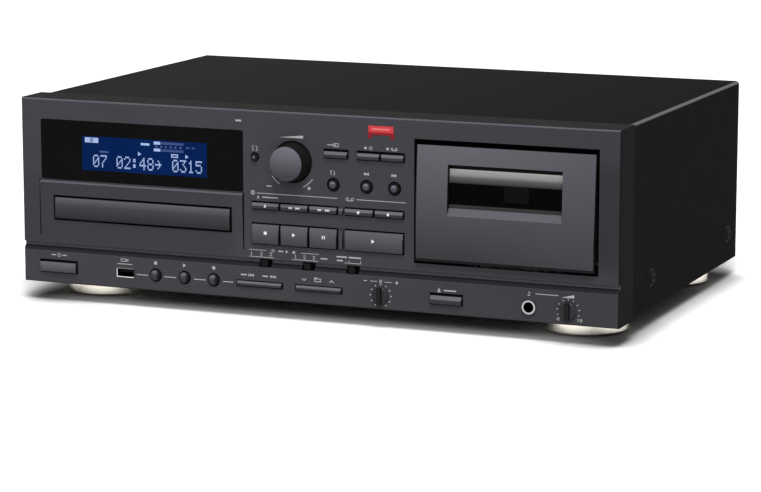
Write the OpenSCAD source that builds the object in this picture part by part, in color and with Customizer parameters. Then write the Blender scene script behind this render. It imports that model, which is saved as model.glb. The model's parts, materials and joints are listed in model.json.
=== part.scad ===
// Full-width deck with a disc player on the left and a cassette recorder on the right.
// Panel coordinates: x from the left edge, y back from the front face, z up from the panel's lower edge.

/* [Cabinet] */
// Width of the front panel
panel_w = 435; // [432:1:470]
// Height of the front panel
panel_h = 129; // [127:1:145]
// Depth of the front panel moulding
panel_d = 29; // [27:1:40]
// Depth from the front face to the back face
body_d = 282; // [272:1:330]
// Thickness of the moulded front wall
wall = 3; // [2.6:0.1:3.6]
// Thickness of the moulded side, top and bottom walls
side_wall = 4; // [3.6:0.1:5]
// Radius of the front panel's outer edges
edge_r = 1.6; // [0.8:0.1:2.5]
// Thickness of the sheet steel
sheet = 1; // [0.8:0.1:1.5]
// Step from the panel's sides in to the cover
cover_inset = 3; // [2.7:0.1:3.4]
// Step from the panel's top down to the cover
cover_drop = 0.5; // [0.2:0.1:1.5]
// Outer bend radius of the cover
bend_r = 2.5; // [2:0.1:4]
// Height of the chassis flanges
flange_h = 32; // [30:1:45]
// Running gap between the sheet steel pieces
sheet_gap = 0.2; // [0.1:0.05:0.4]
// Height of the cover screws
screw_z = 20.5; // [16:0.5:24]
// From the front face to the front cover screws
screw_front = 76; // [60:1:90]
// From the back face to the rear cover screws
screw_rear = 25; // [18:1:40]
// Radius of a screw's flanged head
screw_head_r = 6.5; // [5:0.1:8]
// Height of a screw's head
screw_head_h = 2.4; // [1.6:0.1:2.9]
// Radius of a screw's thread
screw_r = 2; // [1.5:0.1:2.5]

/* [Feet] */
// Height of the feet with their pads
foot_h = 13; // [10:0.5:18]
// Radius of a foot
foot_r = 28.5; // [24:0.5:30]
// Thickness of a foot pad
pad_t = 1.5; // [1:0.1:2.5]
// Radius of a foot pad
pad_r = 21; // [15:0.5:22]
// From the panel's sides to the feet
foot_side = 39.6; // [36:0.1:50]
// From the front face to the front feet
foot_front = 51.9; // [45:0.1:60]
// From the back face to the rear feet
foot_rear = 45.9; // [40:0.1:60]

/* [Groove] */
// Lower edge of the groove across the front
groove_low = 22.5; // [22:0.1:23]
// Upper edge of the groove
groove_high = 28.4; // [28:0.1:29]
// Depth of the groove
groove_deep = 3; // [2:0.1:3.5]

/* [Display] */
// Left edge of the display window
window_left = 15.2; // [13:0.1:18]
// Width of the display window
window_w = 154.2; // [150:0.1:156]
// Lower edge of the display window
window_low = 73; // [72:0.1:74]
// Height of the display window
window_h = 41.8; // [39:0.1:44]
// Thickness of the display window
window_t = 2; // [1.5:0.1:2.2]
// Width of the ledge that the window is glued to
window_ledge = 3; // [2:0.1:4]
// Left edge of the lit display cell
lcd_left = 46; // [40:0.5:52]
// Width of the lit display cell
lcd_w = 96; // [90:0.5:104]
// Lower edge of the lit display cell
lcd_low = 80; // [78:0.1:82]
// Height of the lit display cell
lcd_h = 24.7; // [22:0.1:27]

/* [Disc tray] */
// Left edge of the tray mouth
mouth_left = 24.5; // [23.7:0.1:26]
// Width of the tray mouth
mouth_w = 136.4; // [135:0.1:138]
// Lower edge of the tray mouth
mouth_low = 44.7; // [44:0.1:45.5]
// Height of the tray mouth
mouth_h = 17.5; // [17:0.1:18.5]
// Gap round the tray front
mouth_gap = 1.2; // [0.8:0.1:1.4]
// How far the tray front stands proud
tray_proud = 1.6; // [1.3:0.1:3]
// Crown radius of the tray front
tray_crown = 110; // [80:5:400]
// Raised surround: height of its lower edge
surround_low = 33.5; // [32.5:0.1:36]
// Raised surround: how far its top stands proud
surround_proud = 1; // [0.5:0.1:1.2]
// Width of the sunk line at its sides
line_w = 0.9; // [0.6:0.1:1.2]
// Width of the tray
tray_w = 131; // [129:0.1:132]
// Length of the tray
tray_len = 161; // [160:1:166]
// Thickness of the tray
tray_t = 8; // [7:0.1:8.6]
// Radius of the large disc dish
disc_r = 60.5; // [60.2:0.1:61]
// Depth of the large disc dish
dish_deep = 4.4; // [4:0.1:4.8]
// Radius of the small disc dish
small_disc_r = 40.5; // [40.2:0.1:42]
// Extra depth of the small disc dish
small_dish_deep = 1.6; // [1:0.1:2]
// Rim in front of the disc dish
dish_rim = 6; // [5:0.1:8]
// Half width of the slot that clears the turntable
tray_slot = 19; // [18:0.1:21]
// Travel of the tray
tray_travel = 138; // [125:1:140]
// Running gap of the tray on its rails
rail_gap = 0.3; // [0.2:0.05:0.4]

/* [Loading drive] */
// Gear module of the rack and the loading gear
gear_module = 1.5; // [1.4:0.05:1.6]
// Teeth of the loading gear
gear_teeth = 14; // [14:1:15]
// Play between gear and rack at the pitch line
backlash = 0.3; // [0.25:0.05:0.4]
// Height of the rack and the loading gear
rack_h = 3.4; // [3:0.1:3.6]
// Radius of the loading gear's pulley
pulley_r = 14.5; // [13:0.1:15]
// Radius of the loading motor's pulley
motor_pulley_r = 4; // [3:0.1:5]
// Section of the round-edged drive belt
belt_t = 1.2; // [1:0.1:1.4]
// Radius of the axle pin of the loading gear
axle_r = 2; // [1.5:0.1:2.5]
// Running clearance of shafts, on the radius
shaft_gap = 0.05; // [0.02:0.01:0.08]

/* [Disc drive] */
// Radius of the turntable
turntable_r = 15; // [14:0.1:16]
// Radius of the turntable's hub
hub_r = 7.3; // [7:0.1:7.4]
// Radius of the turntable's shaft
turntable_shaft_r = 1.5; // [1.2:0.1:1.8]
// Travel of the laser pickup
pickup_travel = 34; // [30:1:35]
// Radius of the pickup's guide rods
rod_r = 1.5; // [1.2:0.1:1.8]
// Radius of the traverse's hinge pins
hinge_r = 1.5; // [1.2:0.1:1.8]
// Radius of the disc clamp
clamp_r = 14; // [12:0.1:15]

/* [Cassette door] */
// Distance from the door opening to the panel's right edge
door_margin = 14.1; // [13:0.1:16]
// Width of the door opening
well_w = 127.7; // [127:0.1:129]
// Lower edge of the door opening
well_low = 33.4; // [33:0.1:34]
// Height of the door opening
well_h = 82.6; // [82:0.1:84]
// Gap beside the door
door_gap = 2.1; // [1.8:0.1:2.4]
// Gap above the door
door_top_gap = 3.5; // [3:0.1:4]
// How far the lower edge of the door stands proud
door_proud = 3.5; // [3.2:0.1:3.8]
// Radius of the door's upright curve
door_crown = 990; // [900:10:1400]
// From the front face to the door's back
door_back = 2.2; // [2:0.1:2.4]
// From the front face to the hinge axis
door_axis_y = 2.5; // [2.4:0.1:2.7]
// Height of the hinge axis above the door's lower edge
door_axis_up = 5.5; // [5.3:0.1:6]
// Radius of the door's hinge pins
door_pin_r = 1.5; // [1.2:0.1:1.6]
// Width of the door window
lens_w = 79.2; // [76:0.1:84]
// Lower edge of the door window above the opening's edge
lens_up = 38.3; // [37:0.1:40]
// Height of the door window
lens_h = 28.7; // [26:0.1:30]
// Height of the slope below the door window
lens_slope = 5.7; // [4:0.1:7]
// Height of the lens's upright part
lens_flat = 16.6; // [14:0.1:18]
// Thickness of the lens rim
lens_rim = 1.5; // [1.2:0.1:1.6]

/* [Cassette deck] */
// Width of the space for a cassette
cassette_w = 103.6; // [102.6:0.1:105]
// Depth of the space for a cassette
cassette_t = 12.2; // [12:0.1:12.6]
// Height of the cassette's shelf above the opening's edge
shelf_up = 12.1; // [11.5:0.1:13]
// Height of the reel hubs above the shelf
reel_up = 34.7; // [34:0.1:35.5]
// Distance between the reel hubs
reel_pitch = 42.5; // [42:0.1:43]
// Radius of a reel spindle over its vanes
spindle_r = 4.6; // [4.2:0.1:4.8]
// Radius of a reel table
reel_table_r = 13; // [11:0.1:15]
// Radius of the reel shafts
reel_shaft_r = 1.5; // [1.2:0.1:1.8]
// Radius of the capstan
capstan_r = 1; // [0.9:0.05:1.2]
// From the middle of the cassette to the capstan
capstan_x = 18.5; // [18:0.1:19]
// Height of the capstan above the shelf
capstan_up = 9.5; // [9.3:0.1:10.5]
// Radius of the flywheel
flywheel_r = 28; // [24:0.5:29]
// Radius of the pinch roller
roller_r = 5.5; // [5:0.1:6]
// Travel of the head bridge
head_travel = 9; // [8:0.1:9.2]
// Thickness of the deck plate
plate_t = 1.2; // [1:0.1:1.6]
// From the front face to the deck plate
plate_y = 22; // [21.8:0.1:23]

/* [Keys] */
// Gap round a key
key_gap = 0.7; // [0.4:0.05:0.8]
// Gap above a key
key_top = 1.1; // [0.9:0.1:1.3]
// Gap above a key that sits low in its own opening
pocket_top = 1.8; // [1.4:0.1:2]
// How far the keys stand proud
key_proud = 2; // [1.6:0.1:4]
// Radius of a key's front edges
key_edge = 0.8; // [0.4:0.1:1.2]
// How far the upper part of a low key leans back
key_lean = 1.1; // [0.6:0.1:1.4]
// Radius of a tall key's crowned front
key_crown = 60; // [50:1:90]
// Radius of a round key's dome
key_dome = 6.5; // [6:0.1:9]
// Travel of a key
key_travel = 1.2; // [0.8:0.1:1.6]
// Travel of the power key
power_travel = 2.2; // [1.8:0.1:2.6]
// Running gap between collar and panel
collar_gap = 0.3; // [0.2:0.05:0.4]
// Thickness of a key's collar
collar_t = 1.4; // [1:0.1:2]
// How far a key's collar reaches past its opening
collar_lip = 1.1; // [0.8:0.1:1.3]
// Radius of a key's stem
stem_r = 1.6; // [1.2:0.1:2]
// Middle height of the controls in the lower strip
strip_z = 10.6; // [10:0.1:11]

/* [Key places] */
// Left edge of the key bank; shares are of the space between display and door,
// and of the panel's width in the lower strip
bank_at = 0.0493; // [0.032:0.001:0.052]
// Width of the bank's left half, with three keys a row
bank_share = 0.5121; // [0.494:0.001:0.516]
// Width of the fixed bar between the bank's halves
bank_bar = 4.6; // [4.4:0.1:6]
// Width of the bank's right half
bank_right_share = 0.3474; // [0.337:0.001:0.353]
// Lower edge of the tall row of keys
tall_low = 38; // [37.8:0.1:39]
// Height of the tall row of keys
tall_h = 15; // [14:0.1:16]
// Lower edge of the slim row of keys
slim_low = 61.7; // [60:0.1:63]
// Height of the slim row of keys
slim_h = 5.9; // [5:0.1:7]
// Lower edge of the top row of keys
top_low = 99.4; // [98:0.1:100]
// Height of the top row of keys
top_h = 6.6; // [5.8:0.1:7.4]
// Left edge of the source key
source_at = 0.4774; // [0.466:0.001:0.486]
// Width of the source key
source_share = 0.1454; // [0.131:0.001:0.151]
// Left edge of the pair of record keys
record_at = 0.6697; // [0.652:0.001:0.672]
// Width of the pair of record keys
record_share = 0.2786; // [0.262:0.001:0.286]
// Left edge of the power key
power_left = 12.7; // [12:0.1:14]
// Width of the power key
power_w = 29.6; // [28:0.1:33]
// Height of the power key
power_h = 9.3; // [8.2:0.1:9.6]
// Left edge of the eject key
eject_at = 0.7; // [0.69:0.001:0.71]
// Width of the eject key
eject_w = 23.4; // [20:0.1:26]
// Height of the eject key
eject_h = 8; // [7:0.1:8.4]
// Radius of the round keys
round_r = 4.7; // [4.2:0.1:5]
// Radius of the counter's reset key
reset_r = 3.2; // [2.8:0.1:3.6]
// Middle height of the round keys in the middle
round_z = 82; // [80:0.1:83]
// First round key in the middle
repeat_at = 0.5333; // [0.526:0.001:0.536]
// Second round key in the middle
rewind_at = 0.7268; // [0.708:0.001:0.738]
// Third round key in the middle
forward_at = 0.8881; // [0.869:0.001:0.894]
// Middle of the counter's reset key
reset_at = 0.0711; // [0.057:0.001:0.078]
// Height of the counter's reset key
reset_z = 97.4; // [95:0.1:98]
// First round key in the lower strip
file_at = 0.236; // [0.23:0.001:0.24]
// Pitch of the round keys in the lower strip
file_pitch = 22; // [20:0.1:23]
// Middle of the skip rocker
skip_at = 0.4162; // [0.41:0.001:0.418]
// Middle of the folder rocker
folder_at = 0.5164; // [0.51:0.001:0.52]
// Width of a rocker's opening
rocker_w = 34.8; // [32:0.1:36]
// Height of a rocker's opening
rocker_h = 4.6; // [4:0.1:5.5]
// Radius of a rocker's pivot pin
pivot_r = 1.2; // [1:0.1:1.4]
// Swing of a rocker each way
rocker_swing = 3.5; // [2:0.5:4]
// First slide switch in the groove
timer_at = 0.124; // [0.118:0.001:0.129]
// Second slide switch in the groove
monitor_at = 0.3796; // [0.375:0.001:0.385]
// Third slide switch in the groove
speed_at = 0.6397; // [0.635:0.001:0.647]
// Width of a slide switch's finger piece
slide_w = 4.6; // [4:0.1:5]
// Travel of a slide switch each way
slide_travel = 2; // [1.6:0.1:2.2]

/* [Knobs and jacks] */
// Middle of the level knob
level_at = 0.294; // [0.288:0.001:0.298]
// Height of the level knob
level_z = 95.6; // [94:0.1:96]
// Radius of the level knob's face
level_r = 11.3; // [10:0.1:12]
// How far the level knob widens towards the panel
level_flare = 1.6; // [0.6:0.1:2]
// Radius of the sunk ring round the level knob
level_ring_r = 14.3; // [14:0.1:15]
// Depth of the sunk ring
ring_deep = 1; // [0.6:0.1:1.2]
// How far the level knob stands proud
level_proud = 13; // [11:0.1:15]
// Radius of the level knob's domed face
level_dome = 40; // [34:1:60]
// Radius of the level knob's shaft
level_shaft_r = 3; // [2.5:0.1:3.2]
// Middle of the pitch knob
pitch_at = 0.6193; // [0.615:0.001:0.625]
// From the panel's right edge to the mic level knob
mic_level_edge = 34.2; // [33:0.1:37]
// Radius of the small knobs
small_knob_r = 5.75; // [5:0.05:6.2]
// How far the small knobs stand proud
small_knob_proud = 5; // [4:0.1:7]
// Width of a small knob's grip
grip_w = 3.2; // [2.4:0.1:4]
// Radius of a small knob's shaft
small_shaft_r = 2; // [1.5:0.1:2.2]
// Wall of the knobs' bushings
bush_wall = 1.4; // [1:0.1:1.6]
// From the panel's right edge to the mic jack
mic_edge = 61.1; // [60:0.1:64]
// Radius of the mic jack's bore
mic_r = 3.2; // [3.18:0.01:3.3]
// Depth of the mic jack's bore
mic_deep = 13; // [12:0.1:13.5]
// Wall of the mic jack's sleeve
mic_wall = 1.3; // [1:0.1:1.5]
// Middle of the memory stick port
port_at = 0.1828; // [0.178:0.001:0.188]
// Width of the port's opening
port_w = 12.8; // [12.5:0.1:13.2]
// Height of the port's opening
port_h = 5.4; // [5.12:0.01:5.6]
// Thickness of the port's shell
port_wall = 0.6; // [0.4:0.1:0.7]
// Radius of a signal jack's sleeve
jack_r = 4.15; // [4.1:0.05:4.2]
// How far the signal jacks stand out of the back
jack_proud = 10; // [9:0.1:12]
// Height of the collar round a signal jack
collar_h = 1.2; // [0.8:0.1:1.6]
// Distance between the signal jacks
jack_pitch = 14; // [13:0.1:18]
// From the panel's right edge to the signal jacks
jack_edge = 50; // [45:1:70]
// From the panel's left edge to the mains inlet
inlet_x = 48; // [40:1:60]
// Distance between the mains inlet's pins
pin_pitch = 8.6; // [8.2:0.1:9]

/* [Boards] */
// From the front face to the front board
board_y = 16; // [15.6:0.1:17]
// Thickness of a circuit board
board_t = 1.6; // [1.2:0.1:2]
// Height of the main board above the chassis floor
board_up = 9; // [6:0.5:12]
// Radius of the board posts
post_r = 2; // [1.8:0.1:2.2]

/* [Hidden] */
$fn = 48;
// Steps of the large crown radii
crown_fn = 1440;
tall_key = 6.5;
bar_side = 0.7;
// How far cuts pass a face, and joined shapes sink in
over = 1;
join = 0.5;
// Clearance of fixed pieces, and of moving pieces beside others
fit_gap = 0.2;
run_gap = 0.3;

// Colours
moulding = [0.24, 0.235, 0.25];
key_grey = [0.3, 0.295, 0.31];
black = [0.05, 0.05, 0.055];
steel_black = [0.13, 0.13, 0.135];
bare_steel = [0.72, 0.72, 0.73];
champagne = [0.7, 0.68, 0.63];
board_green = [0.1, 0.3, 0.16];
white_plastic = [0.85, 0.85, 0.83];

// Frame: middle of the box that holds the knob's face and the jacks' ends
front_y = level_proud - (level_proud + body_d + jack_proud) / 2;

// Cabinet
cover_x = [cover_inset, panel_w - cover_inset];
cover_top = panel_h - cover_drop;
chassis_x = [cover_x[0] + sheet + sheet_gap, cover_x[1] - sheet - sheet_gap];
rear_y = body_d - sheet;
screw_spots = [screw_front, body_d - screw_rear];
foot_spots = [for (x = [foot_side, panel_w - foot_side], y = [foot_front, body_d - foot_rear]) [x, y]];

// Disc drive
mouth_x = mouth_left + mouth_w / 2;
mouth_high = mouth_low + mouth_h;
surround_x = [window_left - 1.4, window_left + window_w];
surround_high = window_low - 1.2;
tray_y = wall + fit_gap;
rack_clear = 0.9;
tray_low = mouth_low + rack_h + rack_clear;
tray_high = tray_low + tray_t;
disc_y = tray_y + dish_rim + disc_r;
dish_low = tray_high - dish_deep;
frame_in = tray_w / 2 + 0.5;
frame_wall = 2.5;
frame_out = frame_in + frame_wall;
frame_y = [tray_y + run_gap, tray_y + tray_len + 9];
frame_low = 34;
frame_t = 2;
frame_tab = 2.7;
frame_high = tray_high + rail_gap + frame_tab;
rail_w = 6;
bay_half = 34;
bay_y = [38, frame_y[1] - 12];
leg_r = 5;
leg_spots = [for (x = [-60, 60], y = [bay_y[0] + 8, bay_y[1]]) [x, y]];
pressure = 20;
gear_pitch_r = gear_module * gear_teeth / 2;
gear_pitch = PI * gear_module;
gear_base_r = gear_pitch_r * cos(pressure);
gear_tip_r = gear_pitch_r + gear_module * 0.85;
gear_root_r = gear_pitch_r - gear_module * 1.15;
rack_web = 2.6;
rack_back = -tray_w / 2 + rail_w + 0.4;
rack_root = rack_back + rack_web;
rack_line = rack_root + gear_module * 1.1;
rack_tip = rack_line + gear_module * 0.7;
gear_x = rack_line + gear_pitch_r;
gear_y = tray_y + 18;
rack_low = tray_low - rack_h;
gear_low = rack_low + run_gap;
gear_high = tray_low - 0.4;
gear_floor = frame_low + frame_t;
pulley_low = gear_floor + run_gap;
pulley_high = gear_low - 0.8;
belt_z = (pulley_low + pulley_high) / 2;
belt_w = 2.4;
pulley_groove = 0.6;
loading_motor = [gear_x + pulley_r + 22, gear_y - 3];
loading_motor_r = 9;
loading_motor_h = 12;
traverse_t = 2;
traverse_low = frame_low + 6;
traverse_high = traverse_low + traverse_t;
traverse_half = bay_half - 3;
traverse_y = [bay_y[0] + 6, bay_y[1] - 2];
traverse_axis = [bay_y[1] - 5, traverse_low + traverse_t / 2];
traverse_ear = 5;
spindle_motor_r = 13;
spindle_motor_h = 7;
bush_h = 4.5;
platter_high = dish_low + 0.8;
platter_t = 1.6;
rod_half = 21;
rod_z = traverse_high + 3;
pickup_len = 26;
pickup_wing = 4;
pickup_half = 11;
pickup_lens_r = 4;
pickup_y = disc_y + turntable_r + 2 + pickup_len / 2;
rod_block = 4;
rod_y = [disc_y + 8, pickup_y + pickup_len / 2 + pickup_travel + run_gap + rod_block];
pickup_low = traverse_high + 0.4;
pickup_high = tray_low - 0.8;
pickup_top = dish_low - 2;
bridge_y = [disc_y - 14, disc_y + 14];
bridge_t = 2;

// Cassette deck
well_right = panel_w - door_margin;
well_left = well_right - well_w;
well_x = (well_left + well_right) / 2;
well_high = well_low + well_h;
door_x = [well_left + door_gap, well_right - door_gap];
door_low = well_low + door_gap;
door_high = well_high - door_top_gap;
door_axis_z = door_low + door_axis_up;
lens_x = [well_x - lens_w / 2, well_x + lens_w / 2];
lens_low = well_low + lens_up;
lens_high = lens_low + lens_h;
lens_lap = 2;
lens_bulge = 1.6;
shelf_z = well_low + shelf_up;
holder_back = 1.3;
holder_y = [door_back, door_back + lens_rim + fit_gap + cassette_t + holder_back];
holder_half = cassette_w / 2;
holder_wall = 2.4;
holder_lip = 6.5;
holder_high = door_high - 8;
shelf_half = 36;
reel_z = shelf_z + reel_up;
capstan_z = shelf_z + capstan_up;
plate_x = [well_left - 7.7, well_right + 7.6];
plate_z = [groove_high - 1.5, well_high + 7];
deck_post_r = 3;
deck_posts = [for (x = [plate_x[0] + 4, plate_x[1] - 3.2], z = [plate_z[0] + 3.5, plate_z[1] - 3.5]) [x, z]];
plate_back = plate_y + plate_t;
reel_bush = 1.8;
reel_table_t = 3;
reel_table_y = [plate_back + reel_bush + run_gap, plate_back + reel_bush + run_gap + reel_table_t];
spindle_tip = holder_y[0] + 7.3;
flywheel_y = [reel_table_y[1] + 1.7, reel_table_y[1] + 8.7];
strap_y = flywheel_y[1] + 2;
strap_half = flywheel_r + 5;
capstan_tip = holder_y[0] + 3;
sleeve_y = holder_y[1] - 2;
bridge_back = plate_y - run_gap;
bridge_front = bridge_back - 2.3;
head_high = shelf_z - 0.7;
roller_z = capstan_z - capstan_r - roller_r - head_travel - run_gap;
bridge_half = 33;
head_proud = 3.8;
head_bridge_h = 11.5;
head_bridge_z = [head_high - head_proud - head_bridge_h, head_high - head_proud];
head_half = 7;
head_h = 9;
guide_x = 26;
guide_r = 1.5;
guide_z = head_bridge_z[1] - 1.4 - guide_r;
deck_motor_r = 16;
deck_motor_in = [20, 13];
deck_motor = [well_left + deck_motor_in[0], well_high - deck_motor_in[1]];
deck_motor_h = 21;

// The space between the display and the door
middle_x = [window_left + window_w, well_left];
middle_w = middle_x[1] - middle_x[0];
bank_left = middle_x[0] + bank_at * middle_w;
bank_w = bank_share * middle_w;
bank_right_w = bank_right_share * middle_w;
source_left = middle_x[0] + source_at * middle_w;
record_left = middle_x[0] + record_at * middle_w;
record_w = record_share * middle_w;
level_x = middle_x[0] + level_at * middle_w;
reset_x = middle_x[0] + reset_at * middle_w;
eject_left = eject_at * panel_w;
port_x = port_at * panel_w;

// Keys: [left, low, width, height] of the opening that each key fills
slim_keys = [for (i = [0:2]) [bank_left + i * bank_w / 3, slim_low, bank_w / 3, slim_h]];
bank_right = bank_left + bank_w + bank_bar;
slim_right_keys = [for (i = [0:1]) [bank_right + i * bank_right_w / 2, slim_low, bank_right_w / 2, slim_h]];
tall_keys = [for (i = [0:2]) [bank_left + i * bank_w / 3, tall_low, bank_w / 3, tall_h]];
tall_right_key = [bank_right, tall_low, bank_right_w, tall_h];
source_key = [source_left, top_low, source_share * middle_w, top_h];
record_keys = [for (i = [0:1]) [record_left + i * record_w / 2, top_low, record_w / 2, top_h]];
power_key = [power_left, strip_z + 1.3 - power_h / 2, power_w, power_h];
eject_key = [eject_left, strip_z - eject_h / 2, eject_w, eject_h];
block_keys = concat(slim_keys, slim_right_keys, tall_keys, [tall_right_key, source_key], record_keys,
                    [power_key, eject_key]);
key_slots = [
  [bank_left, slim_low, bank_w, slim_h], [bank_right, slim_low, bank_right_w, slim_h],
  [bank_left, tall_low, bank_w, tall_h], tall_right_key, source_key,
  [record_left, top_low, record_w, top_h], power_key, eject_key
];
// Round keys: [x, z, radius]
file_keys = [for (i = [0:2]) [file_at * panel_w + i * file_pitch, strip_z + 0.6, round_r]];
middle_keys = [for (t = [repeat_at, rewind_at, forward_at]) [middle_x[0] + t * middle_w, round_z, round_r]];
reset_key = [reset_x, reset_z, reset_r];
round_keys = concat(file_keys, middle_keys, [reset_key]);
rocker_places = [skip_at * panel_w, folder_at * panel_w];
slide_places = [for (t = [timer_at, monitor_at, speed_at]) middle_x[0] + t * middle_w];
knob_places = [[pitch_at * panel_w, strip_z - 1], [panel_w - mic_level_edge, strip_z - 1.2]];
mic_place = [panel_w - mic_edge, strip_z - 1];
port_place = [port_x, strip_z + 0.6];

// Depths behind the front wall
collar_y = [wall + collar_gap, wall + collar_gap + collar_t];
switch_h = 4.4;
stem_end = board_y - switch_h - power_travel - run_gap;
pivot_y = wall + 3.2;
ear_t = 2.4;
ear_gap = 0.4;
back_wall = groove_deep + wall;
slide_collar = [back_wall + collar_gap, back_wall + collar_gap + 1.2];
slide_z = [groove_low + 0.7, groove_high - 0.9];
slide_half = slide_w / 2 + slide_travel + collar_gap;
shutter_half = slide_half + slide_travel + collar_gap;
pot_y = board_y - 6.5;
knob_lift = 0.6;
shaft_stop = 0.8;
bar_x = bank_left + bank_w + bank_bar / 2;
board_posts = [
  [bar_x, tall_low + tall_h / 2], [bar_x, panel_h - 14],
  [(power_left + power_w + port_x) / 2, strip_z], [eject_left + eject_w + 12, strip_z], [panel_w - 9, strip_z]
];
main_x = [frame_out + mouth_x + 22, chassis_x[1] - 8];
main_y = [plate_y + 42, rear_y - 14];
main_z = [sheet + board_up, sheet + board_up + board_t];
// Pieces on the main board: sizes, and distances from the board's edges
transformer = [50, 40, 34];
transformer_in = [12, 18];
winding_lap = 8;
capacitor_r = 7;
capacitor_h = 24;
capacitor_pitch = 20;
chip = [26, 22, 3];
chip_pitch = 44;
heat_sink = [36, 22, 26];
heat_sink_in = [22, 95];
fin_t = 2.5;
fins = 6;
jack_spots = [for (x = [0, 1], z = [0, 1]) [panel_w - jack_edge - x * jack_pitch, 52 + z * jack_pitch]];
jack_collar_r = jack_r + 2;
inlet_z = 28;
inlet_half = [10.8, 7.3];
inlet_rim = 1.6;
inlet_deep = 12;

module at_panel() {
  translate([-panel_w / 2, front_y, foot_h])
    children();
}

// A box given by its limits on each axis
module block(x, y, z) {
  translate([x[0], y[0], z[0]])
    cube([x[1] - x[0], y[1] - y[0], z[1] - z[0]]);
}

// Moves to a place [x, z] of the front
module put(p) {
  translate([p[0], 0, p[1]])
    children();
}

module up(z) {
  translate([0, 0, z])
    children();
}

// A (y, z) outline drawn along x
module along_x(x) {
  translate([x[0], 0, 0])
    rotate([90, 0, 90])
      linear_extrude(x[1] - x[0])
        children();
}

// An (x, z) outline drawn along y
module along_y(y) {
  translate([0, y[1], 0])
    rotate([90, 0, 0])
      linear_extrude(y[1] - y[0])
        children();
}

// An (r, y) outline turned about the y axis
module turned() {
  rotate([-90, 0, 0])
    rotate_extrude()
      children();
}

module rod_along_y(r, y) {
  translate([0, y[0], 0])
    rotate([-90, 0, 0])
      cylinder(r = r, h = y[1] - y[0]);
}

module rod_along_x(r, x) {
  translate([x[0], 0, 0])
    rotate([0, 90, 0])
      cylinder(r = r, h = x[1] - x[0]);
}

// A rectangle with round corners on its left
module round_left(w, h, r) {
  translate([r, 0])
    square([w - r, h]);
  translate([0, r])
    square([r, h - 2 * r]);
  for (y = [r, h - r])
    translate([r, y])
      circle(r);
}

module round_rect(x, z, r) {
  translate([x[0] + r, z[0]])
    square([x[1] - x[0] - 2 * r, z[1] - z[0]]);
  translate([x[0], z[0] + r])
    square([x[1] - x[0], z[1] - z[0] - 2 * r]);
  for (a = [x[0] + r, x[1] - r], b = [z[0] + r, z[1] - r])
    translate([a, b])
      circle(r);
}

// A box whose four front edges are round
module round_front(x, y, z, r) {
  intersection() {
    along_x(x)
      translate([y[0], z[0]])
        round_left(y[1] - y[0], z[1] - z[0], r);
    translate([x[0], y[0], z[0]])
      linear_extrude(z[1] - z[0])
        translate([x[1] - x[0], 0])
          rotate(90)
            round_left(y[1] - y[0], x[1] - x[0], r);
  }
}

// A key's front: a low key leans back in its upper part, a tall one is crowned
module key_front(x, y, z) {
  h = z[1] - z[0];
  intersection() {
    round_front(x, y, z, key_edge);
    if (h > tall_key)
      translate([0, y[0] + key_crown, z[0] + h / 5])
        rod_along_x(key_crown, x + [-over, over], $fn = crown_fn);
    else
      along_x(x + [-over, over])
        polygon([[y[0], z[0]], [y[0], z[0] + h * 0.55], [y[0] + key_lean, z[1]], [y[1], z[1]], [y[1], z[0]]]);
  }
}

// Involute gear outline with a tooth on the negative x axis
function involute_angle(a) = tan(a) * 180 / PI - a;
function tooth_half(r) = (90 - 180 * backlash / gear_pitch / 2) / gear_teeth + involute_angle(pressure)
                         - involute_angle(acos(min(1, gear_base_r / r)));
flank_steps = 5;
flank_radii = [for (i = [0:flank_steps]) gear_base_r + (gear_tip_r - gear_base_r) * i / flank_steps];
flank_up = [for (r = flank_radii) [r, -tooth_half(r)]];
flank_down = [for (i = [flank_steps:-1:0]) [flank_radii[i], tooth_half(flank_radii[i])]];
root_half = tooth_half(gear_base_r);
tooth_outline = concat([[gear_root_r, -root_half]], flank_up, flank_down, [[gear_root_r, root_half]]);

module gear_outline() {
  polygon([
    for (k = [0:gear_teeth - 1])
      for (p = tooth_outline)
        let (a = 180 + k * 360 / gear_teeth + p[1]) p[0] * [cos(a), sin(a)]
  ]);
}

// Rack outline: teeth towards positive x, a tooth space level with the loading gear
rack_lean = tan(pressure);
rack_teeth = ceil((tray_travel + 18) / gear_pitch);
rack_start = gear_y - 2.5 * gear_pitch;
rack_end = rack_start + (rack_teeth + 0.6) * gear_pitch;
function rack_half(x) = gear_pitch / 4 - backlash / 4 - (x - rack_line) * rack_lean;

module rack_outline() {
  polygon(concat(
    [[rack_back, rack_start]],
    [
      for (i = [0:rack_teeth - 1])
        for (p = [[rack_root, -1], [rack_tip, -1], [rack_tip, 1], [rack_root, 1]])
          [p[0], rack_start + (i + 1) * gear_pitch + p[1] * rack_half(p[0])]
    ],
    [[rack_root, rack_end], [rack_back, rack_end]]
  ));
}

// Belt outline; its runs dip a little to cross the circles
module belt_outline(t) {
  c1 = [gear_x, gear_y];
  c2 = loading_motor;
  r1 = pulley_r - pulley_groove + t;
  r2 = motor_pulley_r + t;
  dip = 0.02;
  d = c2 - c1;
  far = norm(d);
  turn = atan2(d[1], d[0]);
  lean = acos((r1 - r2) / far);
  translate(c1)
    circle(r1);
  translate(c2)
    circle(r2);
  polygon([
    for (q = [[c1, r1, lean], [c2, r2, lean], [c2, r2, -lean], [c1, r1, -lean]])
      q[0] + (q[1] - dip) * [cos(turn + q[2]), sin(turn + q[2])]
  ]);
}

// Front panel
module panel_section() {
  difference() {
    round_left(panel_d, panel_h, edge_r);
    polygon([
      [-over, groove_low - over], [groove_deep, groove_low + groove_deep], [groove_deep, groove_high],
      [-over, groove_high]
    ]);
  }
}

module panel_shell() {
  intersection() {
    along_x([0, panel_w])
      panel_section();
    linear_extrude(panel_h)
      translate([panel_w, 0])
        rotate(90)
          round_left(panel_d, panel_w, edge_r);
  }
}

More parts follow.
